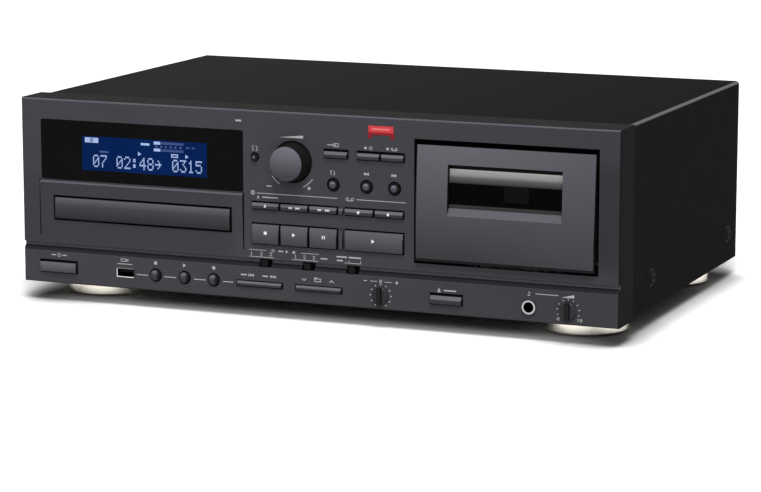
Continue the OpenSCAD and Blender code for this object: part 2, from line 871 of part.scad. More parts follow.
module panel_hollow() {
  difference() {
    block([side_wall, panel_w - side_wall], [wall, panel_d + over], [side_wall, panel_h - side_wall]);
    block([0, panel_w], [0, back_wall], [groove_low - wall, groove_high + wall]);
  }
}

module panel_surround() {
  along_x(surround_x)
    polygon([
      [over, surround_low], [0, surround_low], [-surround_proud, surround_high - surround_proud],
      [0, surround_high], [over, surround_high]
    ]);
}

module panel_openings() {
  cut = [-surround_proud - over, wall + over];
  block([mouth_left, mouth_left + mouth_w], cut, [mouth_low, mouth_high]);
  block([well_left, well_right], cut, [well_low, well_high]);
  along_y([-over, window_t + fit_gap])
    round_rect([window_left, window_left + window_w], [window_low, window_low + window_h], edge_r);
  block([window_left + window_ledge, window_left + window_w - window_ledge], cut,
        [window_low + window_ledge, window_low + window_h - window_ledge]);
  for (x = surround_x)
    block([x - line_w / 2, x + line_w / 2], [-2 * over, line_w], [surround_low, window_low]);
  for (k = key_slots)
    block([k[0], k[0] + k[2]], cut, [k[1], k[1] + k[3]]);
  for (k = round_keys)
    put(k)
      rod_along_y(k[2], cut);
  for (x = rocker_places)
    block([x - rocker_w / 2, x + rocker_w / 2], cut, [strip_z - rocker_h / 2, strip_z + rocker_h / 2]);
  for (x = slide_places)
    block([x - slide_half, x + slide_half], [-over, back_wall + over], slide_z + [-0.4, 0.4]);
  put([level_x, level_z]) {
    rod_along_y(level_ring_r, [-over, ring_deep]);
    rod_along_y(level_shaft_r + shaft_gap + bush_wall + fit_gap, cut);
  }
  for (p = knob_places)
    put(p)
      rod_along_y(small_shaft_r + shaft_gap + bush_wall + fit_gap, cut);
  put(mic_place)
    rod_along_y(mic_r + mic_wall + fit_gap, cut);
  port_half = [port_w / 2 + port_wall + fit_gap, port_h / 2 + port_wall + fit_gap];
  block([port_place[0] - port_half[0], port_place[0] + port_half[0]], cut,
        [port_place[1] - port_half[1], port_place[1] + port_half[1]]);
}

// Ears that carry a rocker's pivot pin
module rocker_ears(x) {
  reach = strip_z + rocker_h / 2 + collar_lip + ear_gap;
  for (side = [0, 1])
    translate([x, 0, strip_z])
      mirror([0, 0, side])
        up(reach - strip_z)
          difference() {
            block([-3, 3], [wall - join, pivot_y + 3], [0, ear_t]);
            translate([0, pivot_y, -over])
              cylinder(r = pivot_r + shaft_gap, h = ear_t + 2 * over);
          }
}

// Lugs that carry the cassette door's hinge pins
module door_lugs() {
  for (x = [[well_left - 5, well_left], [well_right, well_right + 5]])
    block(x, [wall - join, door_axis_y + door_pin_r + 2.5], [door_axis_z - 4, door_axis_z + 4]);
}

module front_panel() {
  color(moulding)
    at_panel()
      difference() {
        union() {
          difference() {
            panel_shell();
            panel_hollow();
          }
          panel_surround();
          door_lugs();
          for (p = deck_posts)
            put(p)
              rod_along_y(deck_post_r, [wall - join, plate_y]);
          for (p = board_posts)
            put(p)
              rod_along_y(post_r, [wall - join, board_y]);
          for (x = rocker_places)
            rocker_ears(x);
          for (z = [[tall_low, tall_low + tall_h], [slim_low, slim_low + slim_h]])
            key_front([bank_right - bank_bar + bar_side, bank_right - bar_side], [-key_proud, wall],
                      z + [key_gap, -key_top]);
        }
        panel_openings();
        translate([0, door_axis_y, door_axis_z])
          rod_along_x(door_pin_r + shaft_gap, [well_left - 4, well_right + 4]);
      }
}

// Display
module display_window() {
  color(black)
    at_panel()
      along_y([fit_gap, window_t + fit_gap])
        round_rect([window_left + fit_gap, window_left + window_w - fit_gap],
                   [window_low + fit_gap, window_low + window_h - fit_gap], edge_r);
}

module lcd_module() {
  lap = window_ledge - 1.6;
  back = wall + board_t;
  color([0.05, 0.15, 0.55])
    at_panel() {
      block([window_left + lap, window_left + window_w - lap], [wall, back],
            [window_low + lap, window_low + window_h - lap]);
      block([lcd_left, lcd_left + lcd_w], [window_t + 2 * fit_gap, back], [lcd_low, lcd_low + lcd_h]);
    }
}

// Sheet steel cabinet
module cover_outline(inset) {
  r = bend_r - inset;
  x = [cover_x[0] + inset, cover_x[1] - inset];
  top = cover_top - inset;
  translate([x[0], 0])
    square([x[1] - x[0], top - r]);
  translate([x[0] + r, top - r - over])
    square([x[1] - x[0] - 2 * r, r + over]);
  for (a = [x[0] + r, x[1] - r])
    translate([a, top - r])
      circle(r);
}

module top_cover() {
  color(steel_black)
    at_panel()
      difference() {
        along_y([panel_d, body_d])
          difference() {
            cover_outline(0);
            cover_outline(sheet);
            translate([cover_x[0] + sheet, -over])
              square([cover_x[1] - cover_x[0] - 2 * sheet, 2 * over]);
          }
        for (y = screw_spots)
          translate([0, y, screw_z])
            rod_along_x(screw_r + shaft_gap, [0, panel_w]);
      }
}

module bottom_chassis() {
  rim = 12;
  color(bare_steel)
    at_panel() {
      difference() {
        union() {
          block(chassis_x, [panel_d, rear_y], [0, sheet]);
          block(chassis_x, [panel_d, panel_d + sheet], [0, rim]);
          for (x = [chassis_x[0], chassis_x[1] - sheet])
            block([x, x + sheet], [panel_d, rear_y], [0, flange_h]);
        }
        for (y = screw_spots)
          translate([0, y, screw_z])
            rod_along_x(screw_r + shaft_gap, [0, panel_w]);
      }
      for (x = [main_x[0] + 8, main_x[1] - 8], y = [main_y[0] + 8, main_y[1] - 8])
        translate([x, y, sheet / 2])
          cylinder(r = post_r + 1, h = board_up + sheet / 2);
    }
}

module rear_panel() {
  color(steel_black)
    at_panel()
      difference() {
        along_y([rear_y, body_d])
          cover_outline(sheet + sheet_gap);
        for (p = jack_spots)
          put(p)
            rod_along_y(jack_collar_r + fit_gap, [rear_y - over, body_d + over]);
        translate([inlet_x, 0, inlet_z])
          block([-inlet_half[0] - fit_gap, inlet_half[0] + fit_gap], [rear_y - over, body_d + over],
                [-inlet_half[1] - fit_gap, inlet_half[1] + fit_gap]);
      }
}

module cover_screws() {
  grip = cover_inset + sheet + sheet_gap + sheet + 2.6;
  color(steel_black)
    at_panel()
      for (y = screw_spots, side = [0, 1])
        translate([side * panel_w, y, screw_z])
          mirror([side, 0, 0])
            difference() {
              union() {
                rod_along_x(screw_r, [cover_inset - 0.2, grip]);
                translate([cover_inset, 0, 0])
                  rotate([0, -90, 0])
                    rotate_extrude()
                      polygon([[0, 0], [screw_head_r, 0], [screw_head_r, 0.5], [screw_head_r * 0.7, 0.9],
                               [screw_head_r * 0.6, screw_head_h], [0, screw_head_h]]);
              }
              for (a = [0, 90])
                rotate([a, 0, 0])
                  block([cover_inset - screw_head_h - over, cover_inset - screw_head_h + 1.2],
                        [-2.6, 2.6], [-0.5, 0.5]);
            }
}

// Feet
module feet() {
  body = foot_h - pad_t;
  color(champagne)
    at_panel()
      for (p = foot_spots)
        translate([p[0], p[1], -body])
          rotate_extrude()
            difference() {
              union() {
                translate([0, 1])
                  square([foot_r, body - 1]);
                square([foot_r - 1, body]);
                translate([foot_r - 1, 1])
                  circle(1);
              }
              translate([foot_r, body * 0.72])
                rotate(45)
                  square(0.9, center = true);
            }
}

module foot_pads() {
  color(black)
    at_panel()
      for (p = foot_spots)
        translate([p[0], p[1], -foot_h])
          rotate_extrude()
            polygon([[0, 0], [pad_r - pad_t / 2, 0], [pad_r, pad_t / 2], [pad_r, pad_t], [0, pad_t]]);
}

// Boards
module front_board() {
  low = side_wall + 0.6;
  split = groove_low - 1.5;
  x = [bank_left - 3, plate_x[0] - 1.5];
  color(board_green)
    at_panel()
      difference() {
        union() {
          block([side_wall + 3, panel_w - side_wall - 2], [board_y, board_y + board_t], [low, split]);
          block(x, [board_y, board_y + board_t], [split - over, panel_h - 10]);
          for (k = block_keys)
            board_switch([k[0] + k[2] / 2, k[1] + k[3] / 2]);
          for (k = round_keys)
            board_switch([k[0], k[1]]);
          for (c = rocker_places, s = [-1, 1])
            board_switch([c + s * rocker_w * 0.38, strip_z]);
          for (c = slide_places)
            block([c - 7, c + 7], [slide_collar[1] + run_gap, board_y + join], slide_z + [-1, 2]);
          board_pot([level_x, level_z], level_shaft_r, 13, ring_deep + run_gap);
          for (p = knob_places)
            board_pot(p, small_shaft_r, 9, run_gap);
        }
        put([level_x, level_z])
          rod_along_y(level_shaft_r + shaft_gap, [0, board_y - shaft_stop]);
        for (p = knob_places)
          put(p)
            rod_along_y(small_shaft_r + shaft_gap, [0, board_y - shaft_stop]);
      }
}

// Push switch, drawn with its plunger down
module board_switch(p) {
  body = 6;
  block([p[0] - body / 2, p[0] + body / 2], [board_y - switch_h + 1, board_y + join],
        [p[1] - body / 2, p[1] + body / 2]);
  put(p)
    rod_along_y(1.7, [board_y - switch_h, board_y]);
}

// Potentiometer with the bushing that carries a knob's shaft
module board_pot(p, shaft_r, body, nose) {
  half = body / 2;
  block([p[0] - half, p[0] + half], [pot_y, board_y + join], [p[1] - min(half, 4.6), p[1] + half]);
  put(p)
    rod_along_y(shaft_r + shaft_gap + bush_wall, [nose, pot_y + over]);
}

module main_board() {
  top = main_z[1] - join;
  core_y = [main_y[1] - transformer_in[1] - transformer[1], main_y[1] - transformer_in[1]];
  core_x = [main_x[0] + transformer_in[0], main_x[0] + transformer_in[0] + transformer[0]];
  sink_x = [main_x[1] - heat_sink_in[0] - heat_sink[0], main_x[1] - heat_sink_in[0]];
  sink_y = [main_y[0] + heat_sink_in[1], main_y[0] + heat_sink_in[1] + heat_sink[1]];
  color(board_green)
    at_panel() {
      block(main_x, main_y, main_z);
      block(core_x, core_y, [top, top + transformer[2]]);
      block(core_x + [winding_lap, -winding_lap], core_y + [-winding_lap, winding_lap],
            [top, top + transformer[2] - winding_lap / 2]);
      for (i = [0:3])
        translate([core_x[1] + (i + 1) * capacitor_pitch, (core_y[0] + core_y[1]) / 2, top])
          cylinder(r = capacitor_r - i % 2, h = capacitor_h - capacitor_r / 2 * (i % 2));
      for (i = [0:2])
        translate([core_x[1] + i * chip_pitch, main_y[0] + chip_pitch, top])
          cube(chip);
      for (i = [0:fins - 1])
        let (x = sink_x[0] + i * (heat_sink[0] - fin_t) / (fins - 1))
          block([x, x + fin_t], sink_y, [top, top + heat_sink[2]]);
      block(sink_x, [sink_y[0] - fin_t, sink_y[0] + fin_t / 2], [top, top + heat_sink[2]]);
    }
}

// Jacks
module rca_jacks() {
  half = jack_pitch / 2;
  base = [jack_spots[0][0] - jack_pitch - half + 1, jack_spots[0][0] + half - 1];
  rise = [jack_spots[0][1] - half + 1, jack_spots[0][1] + jack_pitch + half - 1];
  color(white_plastic)
    at_panel()
      difference() {
        union() {
          block(base, [rear_y - 11, rear_y], rise);
          for (p = jack_spots)
            put(p) {
              rod_along_y(jack_collar_r, [rear_y - join, body_d + collar_h]);
              rod_along_y(jack_r, [body_d, body_d + jack_proud]);
            }
        }
        for (p = jack_spots)
          put(p)
            rod_along_y(1.65, [rear_y - 4, body_d + jack_proud + over]);
      }
}

module power_inlet() {
  cup = 4.3;
  back = body_d + inlet_rim - inlet_deep;
  color(black)
    at_panel()
      translate([inlet_x, 0, inlet_z]) {
        difference() {
          union() {
            along_y([body_d, body_d + inlet_rim])
              round_rect([-16, 16], [-9.5, 9.5], 2);
            block([-inlet_half[0], inlet_half[0]], [back - 3, body_d + join], [-inlet_half[1], inlet_half[1]]);
          }
          along_y([back, body_d + inlet_rim + over]) {
            for (x = [-1, 1])
              translate([x * pin_pitch / 2, 0])
                circle(cup);
            square([pin_pitch, 1.6 * cup], center = true);
          }
        }
        for (x = [-1, 1])
          translate([x * pin_pitch / 2, 0, 0])
            rod_along_y(1.2, [back - join, body_d - 1.4]);
      }
}

module usb_port() {
  w = port_w / 2;
  h = port_h / 2;
  color(bare_steel)
    at_panel()
      put(port_place) {
        difference() {
          block([-w - port_wall, w + port_wall], [0, board_y], [-h - port_wall, h + port_wall]);
          block([-w, w], [-over, board_y - 3], [-h, h]);
        }
        block([-w + 0.9, w - 0.9], [1.2, board_y - 2], [h - 2.4, h - 0.7]);
      }
}

module mic_jack() {
  color(bare_steel)
    at_panel()
      put(mic_place)
        difference() {
          union() {
            rod_along_y(mic_r + mic_wall, [-1.2, wall + over]);
            rod_along_y(mic_r + mic_wall + 0.5, [-1.2, 0]);
            block([-6, 6], [wall, board_y], [-min(6, mic_place[1] - side_wall - 0.4), 6]);
          }
          rod_along_y(mic_r, [-2 * over - 1.2, mic_deep - 1.2]);
        }
}

// Disc loader
module loader_frame() {
  color(black)
    at_panel()
      translate([mouth_x, 0, 0]) {
        difference() {
          union() {
            block([-frame_out, frame_out], frame_y, [frame_low, gear_floor]);
            for (s = [0, 1])
              mirror([s, 0, 0])
                loader_side();
            for (p = leg_spots)
              translate([p[0], p[1], sheet])
                cylinder(r = leg_r, h = frame_low - sheet + join);
          }
          block([-bay_half, bay_half], bay_y, [frame_low - over, gear_floor + over]);
          translate([loading_motor[0], loading_motor[1], frame_low - over])
            cylinder(r = 3, h = frame_t + 2 * over);
        }
        translate([gear_x, gear_y, frame_low + frame_t / 2])
          cylinder(r = axle_r, h = gear_high - run_gap - frame_low - frame_t / 2);
        for (s = [0, 1])
          mirror([s, 0, 0])
            traverse_ears();
        translate([loading_motor[0], loading_motor[1], 0])
          loading_motor_body();
        up(belt_z - belt_w / 2)
          linear_extrude(belt_w)
            difference() {
              belt_outline(belt_t);
              belt_outline(0);
            }
      }
}

// One side of the loader frame: wall, rail and tabs
module loader_side() {
  block([frame_in, frame_out], frame_y, [frame_low, frame_high]);
  block([frame_in - rail_w, frame_out], frame_y, [tray_low - rail_gap - frame_t, tray_low - rail_gap]);
  for (y = [frame_y[0] + 4, disc_y + 40])
    block([frame_in - 4.5, frame_out], [y, y + 22], [tray_high + rail_gap, frame_high]);
}

// Ears that carry the traverse's hinge pins
module traverse_ears() {
  difference() {
    block([bay_half + fit_gap, bay_half + traverse_ear], [traverse_axis[0] - 4, traverse_axis[0] + 4],
          [frame_low + join, traverse_axis[1] + 3.5]);
    translate([0, traverse_axis[0], traverse_axis[1]])
      rod_along_x(hinge_r + shaft_gap, [bay_half - over, bay_half + traverse_ear + over]);
  }
}

module loading_motor_body() {
  up(frame_low - loading_motor_h)
    cylinder(r = loading_motor_r, h = loading_motor_h);
  up(frame_low - over)
    cylinder(r = 1, h = pulley_high - frame_low + over);
  up(pulley_low)
    difference() {
      cylinder(r = motor_pulley_r + 1, h = pulley_high - pulley_low);
      up(belt_z - pulley_low - belt_w / 2 - run_gap)
        difference() {
          cylinder(r = motor_pulley_r + 2, h = belt_w + 2 * run_gap);
          up(-over)
            cylinder(r = motor_pulley_r - 0.1, h = belt_w + 4 * over);
        }
    }
}

module clamp_bridge() {
  hole = 9;
  color(black)
    at_panel()
      translate([mouth_x, disc_y, 0]) {
        difference() {
          block([-frame_out, frame_out], bridge_y - [disc_y, disc_y], [frame_high, frame_high + bridge_t]);
          up(frame_high - over)
            cylinder(r = hole, h = bridge_t + 2 * over);
        }
        up(tray_high + rail_gap + 0.1)
          cylinder(r = clamp_r, h = 2);
        up(tray_high + 2)
          cylinder(r = hole - 1, h = frame_high + bridge_t - tray_high - 1);
        up(frame_high + bridge_t + run_gap)
          cylinder(r = hole + 3, h = 1.6);
      }
}

module cd_tray() {
  half = tray_w / 2;
  color(black)
    at_panel()
      translate([mouth_x, 0, 0]) {
        difference() {
          block([-half, half], [tray_y, tray_y + tray_len], [tray_low, tray_high]);
          translate([0, disc_y, dish_low])
            cylinder(r = disc_r, h = dish_deep + over);
          translate([0, disc_y, dish_low - small_dish_deep])
            cylinder(r = small_disc_r, h = tray_t);
          translate([0, disc_y, tray_low - over])
            cylinder(r = tray_slot, h = tray_t + 2 * over);
          block([-tray_slot, tray_slot], [disc_y, tray_y + tray_len + over],
                [tray_low - over, tray_high + over]);
          for (s = [-1, 1])
            block([s * (half - 12) - 7, s * (half - 12) + 7], [disc_y + disc_r + 8, tray_y + tray_len - 8],
                  [tray_low + 2, tray_high + over]);
        }
        up(rack_low)
          linear_extrude(rack_h + join)
            rack_outline();
      }
}

module tray_front() {
  z = [mouth_low + mouth_gap, mouth_high - mouth_gap];
  x = [mouth_left + mouth_gap, mouth_left + mouth_w - mouth_gap];
  color(key_grey)
    at_panel()
      intersection() {
        round_front(x, [-tray_proud, tray_y], z, 0.6);
        translate([0, tray_crown - tray_proud, z[0] + 2])
          rod_along_x(tray_crown, x + [-over, over], $fn = crown_fn);
      }
}

module loading_gear() {
  color(white_plastic)
    at_panel()
      translate([mouth_x + gear_x, gear_y, 0])
        difference() {
          union() {
            up(gear_low)
              linear_extrude(gear_high - gear_low)
                gear_outline();
            up(pulley_high - over)
              cylinder(r = gear_root_r - 2, h = gear_low - pulley_high + 2 * over);
            rotate_extrude()
              difference() {
                translate([0, pulley_low])
                  square([pulley_r + 0.6, pulley_high - pulley_low]);
                translate([pulley_r - pulley_groove - fit_gap, belt_z - belt_w / 2 - run_gap])
                  square([2 * over, belt_w + 2 * run_gap]);
              }
          }
          up(gear_floor)
            cylinder(r = axle_r + shaft_gap, h = gear_high);
        }
}

module traverse() {
  color(bare_steel)
    at_panel()
      translate([mouth_x, 0, 0])
        difference() {
          union() {
            block([-traverse_half, traverse_half], traverse_y, [traverse_low, traverse_high]);
            translate([0, disc_y, traverse_low - spindle_motor_h])
              cylinder(r = spindle_motor_r, h = spindle_motor_h + join);
            translate([0, disc_y, traverse_high - join])
              cylinder(r = turntable_shaft_r + 2.5, h = bush_h);
            translate([0, traverse_axis[0], traverse_axis[1]])
              rod_along_x(hinge_r, [-bay_half - traverse_ear + run_gap, bay_half + traverse_ear - run_gap]);
            for (x = [-rod_half, rod_half]) {
              translate([x, 0, rod_z])
                rod_along_y(rod_r, rod_y);
              for (y = [rod_y[0], rod_y[1] - rod_block])
                block([x - 3, x + 3], [y, y + rod_block], [traverse_high - join, rod_z + rod_r + 1]);
            }
          }
          translate([0, disc_y, traverse_low - spindle_motor_h + over])
            cylinder(r = turntable_shaft_r + shaft_gap, h = tray_high);
          block([-pickup_half, pickup_half], [pickup_y - pickup_len / 3, rod_y[1] - 2 * rod_block],
                [traverse_low - over, traverse_high + over]);
        }
}

module turntable() {
  foot = traverse_low - spindle_motor_h + over + run_gap;
  neck = traverse_high - join + bush_h + run_gap;
  under = platter_high - platter_t;
  color(black)
    at_panel()
      translate([mouth_x, disc_y, 0])
        rotate_extrude()
          polygon([
            [0, foot], [turntable_shaft_r, foot], [turntable_shaft_r, neck], [5, neck], [5, under],
            [turntable_r, under], [turntable_r, platter_high], [hub_r, platter_high],
            [hub_r, platter_high + 1.2], [hub_r - 2.2, platter_high + 2.9], [0, platter_high + 2.9]
          ]);
}

module laser_pickup() {
  y = [pickup_y - pickup_len / 2, pickup_y + pickup_len / 2];
  color([0.2, 0.2, 0.22])
    at_panel()
      translate([mouth_x, 0, 0])
        difference() {
          union() {
            block([-rod_half - pickup_wing, rod_half + pickup_wing], y, [pickup_low, pickup_high]);
            block([-pickup_half, pickup_half], y + [pickup_wing, -pickup_wing],
                  [pickup_high - over, pickup_top - 1]);
            translate([0, pickup_y, pickup_high])
              cylinder(r = pickup_lens_r, h = pickup_top - pickup_high);
          }
          for (x = [-rod_half, rod_half])
            translate([x, 0, rod_z])
              rod_along_y(rod_r + shaft_gap, y + [-over, over]);
        }
}

// Cassette mechanism
module deck_plate() {
  color(bare_steel)
    at_panel() {
      difference() {
        union() {
          block(plate_x, [plate_y, plate_back], plate_z);
          put([well_x + capstan_x, capstan_z])
            rod_along_y(capstan_r + 2.2, [sleeve_y, plate_back + 1]);
          for (s = [-1, 1]) {
            put([well_x + s * reel_pitch / 2, reel_z])
              rod_along_y(reel_shaft_r + 2.5, [plate_y, plate_back + reel_bush]);
            put([well_x + s * guide_x, guide_z]) {
              rod_along_y(guide_r, [bridge_front - 0.6, plate_back]);
              rod_along_y(guide_r + 1.1, [bridge_front - 1.8, bridge_front - run_gap]);
            }
            put([well_x + capstan_x + s * strap_half, capstan_z])
              rod_along_y(2.5, [plate_y, strap_y + join]);
          }
          block([well_x + capstan_x - strap_half - 3, well_x + capstan_x + strap_half + 3],
                [strap_y, strap_y + plate_t], [capstan_z - 5, capstan_z + 5]);
        }
        for (s = [-1, 1])
          put([well_x + s * reel_pitch / 2, reel_z])
            rod_along_y(reel_shaft_r + shaft_gap, [plate_y - over, plate_back + reel_bush + over]);
        put([well_x + capstan_x, capstan_z])
          rod_along_y(capstan_r + shaft_gap, [sleeve_y - over, plate_back + 2 * over]);
      }
      put(deck_motor)
        rod_along_y(deck_motor_r, [plate_back, plate_back + deck_motor_h]);
    }
}

// Reel spindle: vanes in front of the plate, table behind
module reel_spindle(x) {
  vane = 1.4;
  core = spindle_r - vane;
  flange = spindle_r + 2.4;
  front = plate_y - run_gap;
  color(black)
    at_panel()
      translate([x, 0, reel_z]) {
        turned()
          polygon([
            [0, spindle_tip], [core / 2, spindle_tip], [core, spindle_tip + 3], [core, front - 1.6],
            [flange, front - 1.6], [flange, front], [reel_shaft_r, front],
            [reel_shaft_r, reel_table_y[0]], [reel_table_r, reel_table_y[0]], [reel_table_r, reel_table_y[1]],
            [0, reel_table_y[1]]
          ]);
        for (a = [0, 120, 240])
          rotate([0, a, 0])
            block([0, spindle_r], [spindle_tip + 2.4, front - 1], [-vane / 2, vane / 2]);
      }
}

module reel_spindle_left() reel_spindle(well_x - reel_pitch / 2);
module reel_spindle_right() reel_spindle(well_x + reel_pitch / 2);

module capstan_flywheel() {
  color(bare_steel)
    at_panel()
      put([well_x + capstan_x, capstan_z])
        turned()
          polygon([
            [0, capstan_tip], [capstan_r - 0.3, capstan_tip], [capstan_r, capstan_tip + 0.3],
            [capstan_r, flywheel_y[0]], [flywheel_r - 1, flywheel_y[0]], [flywheel_r, flywheel_y[0] + 1],
            [flywheel_r, flywheel_y[1]], [3, flywheel_y[1]], [3, strap_y - run_gap], [0, strap_y - run_gap]
          ]);
}

module head_bridge() {
  slot = guide_r + shaft_gap;
  color(bare_steel)
    at_panel()
      translate([well_x, 0, 0])
        difference() {
          union() {
            block([-bridge_half, bridge_half], [bridge_front, bridge_back], head_bridge_z);
            round_front([-head_half, head_half], [capstan_tip + 0.8, bridge_front + join],
                        [head_high - head_h, head_high], 1.5);
            translate([capstan_x, 0, roller_z]) {
              rod_along_y(roller_r, [capstan_tip + 1, sleeve_y - 1]);
              rod_along_y(1.2, [capstan_tip + 0.4, bridge_front + join]);
            }
          }
          for (s = [-1, 1]) {
            for (z = [guide_z, guide_z - head_travel])
              translate([s * guide_x, 0, z])
                rod_along_y(slot, [bridge_front - over, bridge_back + over]);
            block([s * guide_x - slot, s * guide_x + slot], [bridge_front - over, bridge_back + over],
                  [guide_z - head_travel, guide_z]);
          }
        }
}

// Cassette door
module cassette_door() {
  color(moulding)
    at_panel() {
      difference() {
        intersection() {
          round_front(door_x, [-door_proud, door_back], [door_low, door_high], 1);
          translate([0, door_crown - door_proud, door_low])
            rod_along_x(door_crown, door_x + [-over, over], $fn = crown_fn);
        }
        along_x(lens_x)
          polygon([
            [-door_proud - over, lens_low - lens_slope * 1.2], [door_back - 1.2, lens_low],
            [door_back + over, lens_low], [door_back + over, lens_high], [-door_proud - over, lens_high]
          ]);
      }
      for (x = [[well_left - 3.6, door_x[0] + 5], [door_x[1] - 5, well_right + 3.6]])
        translate([0, door_axis_y, door_axis_z])
          rod_along_x(door_pin_r, x);
      for (x = [[door_x[0], door_x[0] + 5], [door_x[1] - 5, door_x[1]]])
        block(x, [0, door_axis_y + door_pin_r + 0.8], [door_axis_z - 2.8, door_axis_z + 4]);
    }
}

module door_window() {
  inner = lens_x + [fit_gap, -fit_gap];
  back = door_back + lens_rim;
  low = lens_low + fit_gap;
  high = lens_high - fit_gap;
  lean = lens_h - lens_flat - 3.3;
  color(black)
    at_panel() {
      block(lens_x + [-lens_lap, lens_lap], [door_back, back], [lens_low - lens_lap, lens_high + lens_lap]);
      along_x(inner)
        polygon([
          [back - join, low], [door_back - lens_bulge, low], [door_back - lens_bulge, lens_low + lens_flat],
          [door_back, lens_low + lens_flat + lean], [door_back, high], [back - join, high]
        ]);
    }
}

module cassette_holder() {
  color(black)
    at_panel()
      translate([well_x, 0, 0])
        for (s = [0, 1])
          mirror([s, 0, 0]) {
            block([holder_half, holder_half + holder_wall], holder_y, [shelf_z - 1.5, holder_high]);
            block([holder_half - holder_lip, holder_half + holder_wall],
                  [holder_y[1] - holder_back, holder_y[1]], [shelf_z - 1.5, holder_high - 8]);
            block([shelf_half, holder_half + holder_wall], holder_y, [shelf_z - 1.5, shelf_z]);
          }
}

// Keys
module block_key(k, travel = key_travel, top = key_top) {
  x = [k[0] + key_gap, k[0] + k[2] - key_gap];
  z = [k[1] + key_gap, k[1] + k[3] - top];
  color(key_grey)
    at_panel() {
      key_front(x, [-key_proud, collar_y[1]], z);
      block(x, collar_y, [k[1] - collar_lip, k[1] + k[3] + collar_lip]);
      translate([k[0] + k[2] / 2, 0, k[1] + k[3] / 2])
        rod_along_y(min(stem_r, k[3] / 2 - key_gap), [collar_y[0], stem_end + power_travel - travel]);
    }
}

module round_key(k) {
  r = k[2] - key_gap;
  r_collar = k[2] + collar_lip;
  end = stem_end + power_travel - key_travel;
  color(key_grey)
    at_panel()
      put(k) {
        intersection() {
          rod_along_y(r, [-key_proud, join]);
          translate([0, key_dome - key_proud, 0])
            sphere(key_dome);
        }
        turned()
          polygon([
            [0, 0], [r, 0], [r, collar_y[0]], [r_collar, collar_y[0]],
            [r_collar, collar_y[1]], [stem_r, collar_y[1]], [stem_r, end], [0, end]
          ]);
      }
}

module power_button() block_key(power_key, power_travel, pocket_top);
module source_button() block_key(source_key, top = pocket_top);
module record_left_button() block_key(record_keys[0], top = pocket_top);
module record_right_button() block_key(record_keys[1], top = pocket_top);
module open_close_button() block_key(slim_keys[0]);
module search_back_button() block_key(slim_keys[1]);
module search_forward_button() block_key(slim_keys[2]);
module tape_stop_button() block_key(slim_right_keys[0]);
module tape_record_button() block_key(slim_right_keys[1]);
module stop_button() block_key(tall_keys[0]);
module play_button() block_key(tall_keys[1]);
module pause_button() block_key(tall_keys[2]);
module tape_play_button() block_key(tall_right_key);
module eject_button() block_key(eject_key, top = pocket_top);
module reset_button() round_key(reset_key);
module repeat_button() round_key(middle_keys[0]);
module rewind_button() round_key(middle_keys[1]);
module forward_button() round_key(middle_keys[2]);
module file_stop_button() round_key(file_keys[0]);
module file_play_button() round_key(file_keys[1]);
module file_record_button() round_key(file_keys[2]);

// Rocker on an upright pivot pin
module rocker(x) {
  half = rocker_w / 2 - key_gap - run_gap;
  tall = rocker_h / 2 - key_gap;
  boss = rocker_h / 2 + collar_lip;
  reach = boss + ear_gap + ear_t - run_gap;
  foot = rocker_w * 0.38;
  color(key_grey)
    at_panel()
      translate([x, 0, strip_z]) {
        key_front([-half, half], [-key_proud + 0.4, pivot_y + 1.6], [-tall, tall]);
        block([-2.6, 2.6], [pivot_y - 1.6, pivot_y + 1.6], [-boss, boss]);
        translate([0, pivot_y, -reach])
          cylinder(r = pivot_r, h = 2 * reach);
        for (s = [-1, 1])
          translate([s * foot, 0, 0])
            rod_along_y(min(stem_r, tall), [pivot_y, board_y - switch_h - run_gap - foot * sin(rocker_swing)]);
      }
}

module skip_rocker() rocker(rocker_places[0]);
module folder_rocker() rocker(rocker_places[1]);

// Knobs
module level_knob() {
  skirt = ring_deep - knob_lift;
  end = board_y - shaft_stop - run_gap;
  color(key_grey)
    at_panel()
      put([level_x, level_z])
        turned()
          intersection() {
            polygon([
              [0, -level_proud], [level_r, -level_proud], [level_r + level_flare, skirt],
              [level_shaft_r, skirt], [level_shaft_r, end], [0, end]
            ]);
            translate([0, level_dome - level_proud])
              circle(level_dome);
          }
}

module small_knob(p) {
  skirt = small_knob_proud * 0.45;
  end = board_y - shaft_stop - run_gap;
  color(key_grey)
    at_panel()
      put(p) {
        turned()
          polygon([
            [0, -skirt], [small_knob_r - 0.8, -skirt], [small_knob_r, -skirt + 0.8],
            [small_knob_r, -knob_lift], [small_shaft_r, -knob_lift], [small_shaft_r, end], [0, end]
          ]);
        intersection() {
          rod_along_y(small_knob_r, [-small_knob_proud, -skirt + join]);
          round_front([-grip_w / 2, grip_w / 2], [-small_knob_proud, -skirt + join],
                      [-small_knob_r, small_knob_r], 0.6);
        }
      }
}

module pitch_knob() small_knob(knob_places[0]);
module mic_level_knob() small_knob(knob_places[1]);

// Slide switch with a shutter that fills its slot at any place
module slide_switch(x) {
  color(black)
    at_panel()
      translate([x, 0, 0]) {
        round_front([-slide_w / 2, slide_w / 2], [-0.6, slide_collar[1]], slide_z, 0.5);
        block([-shutter_half, shutter_half], slide_collar, slide_z + [-1.4, 1.4]);
      }
}

module timer_switch() slide_switch(slide_places[0]);
module monitor_switch() slide_switch(slide_places[1]);
module speed_switch() slide_switch(slide_places[2]);

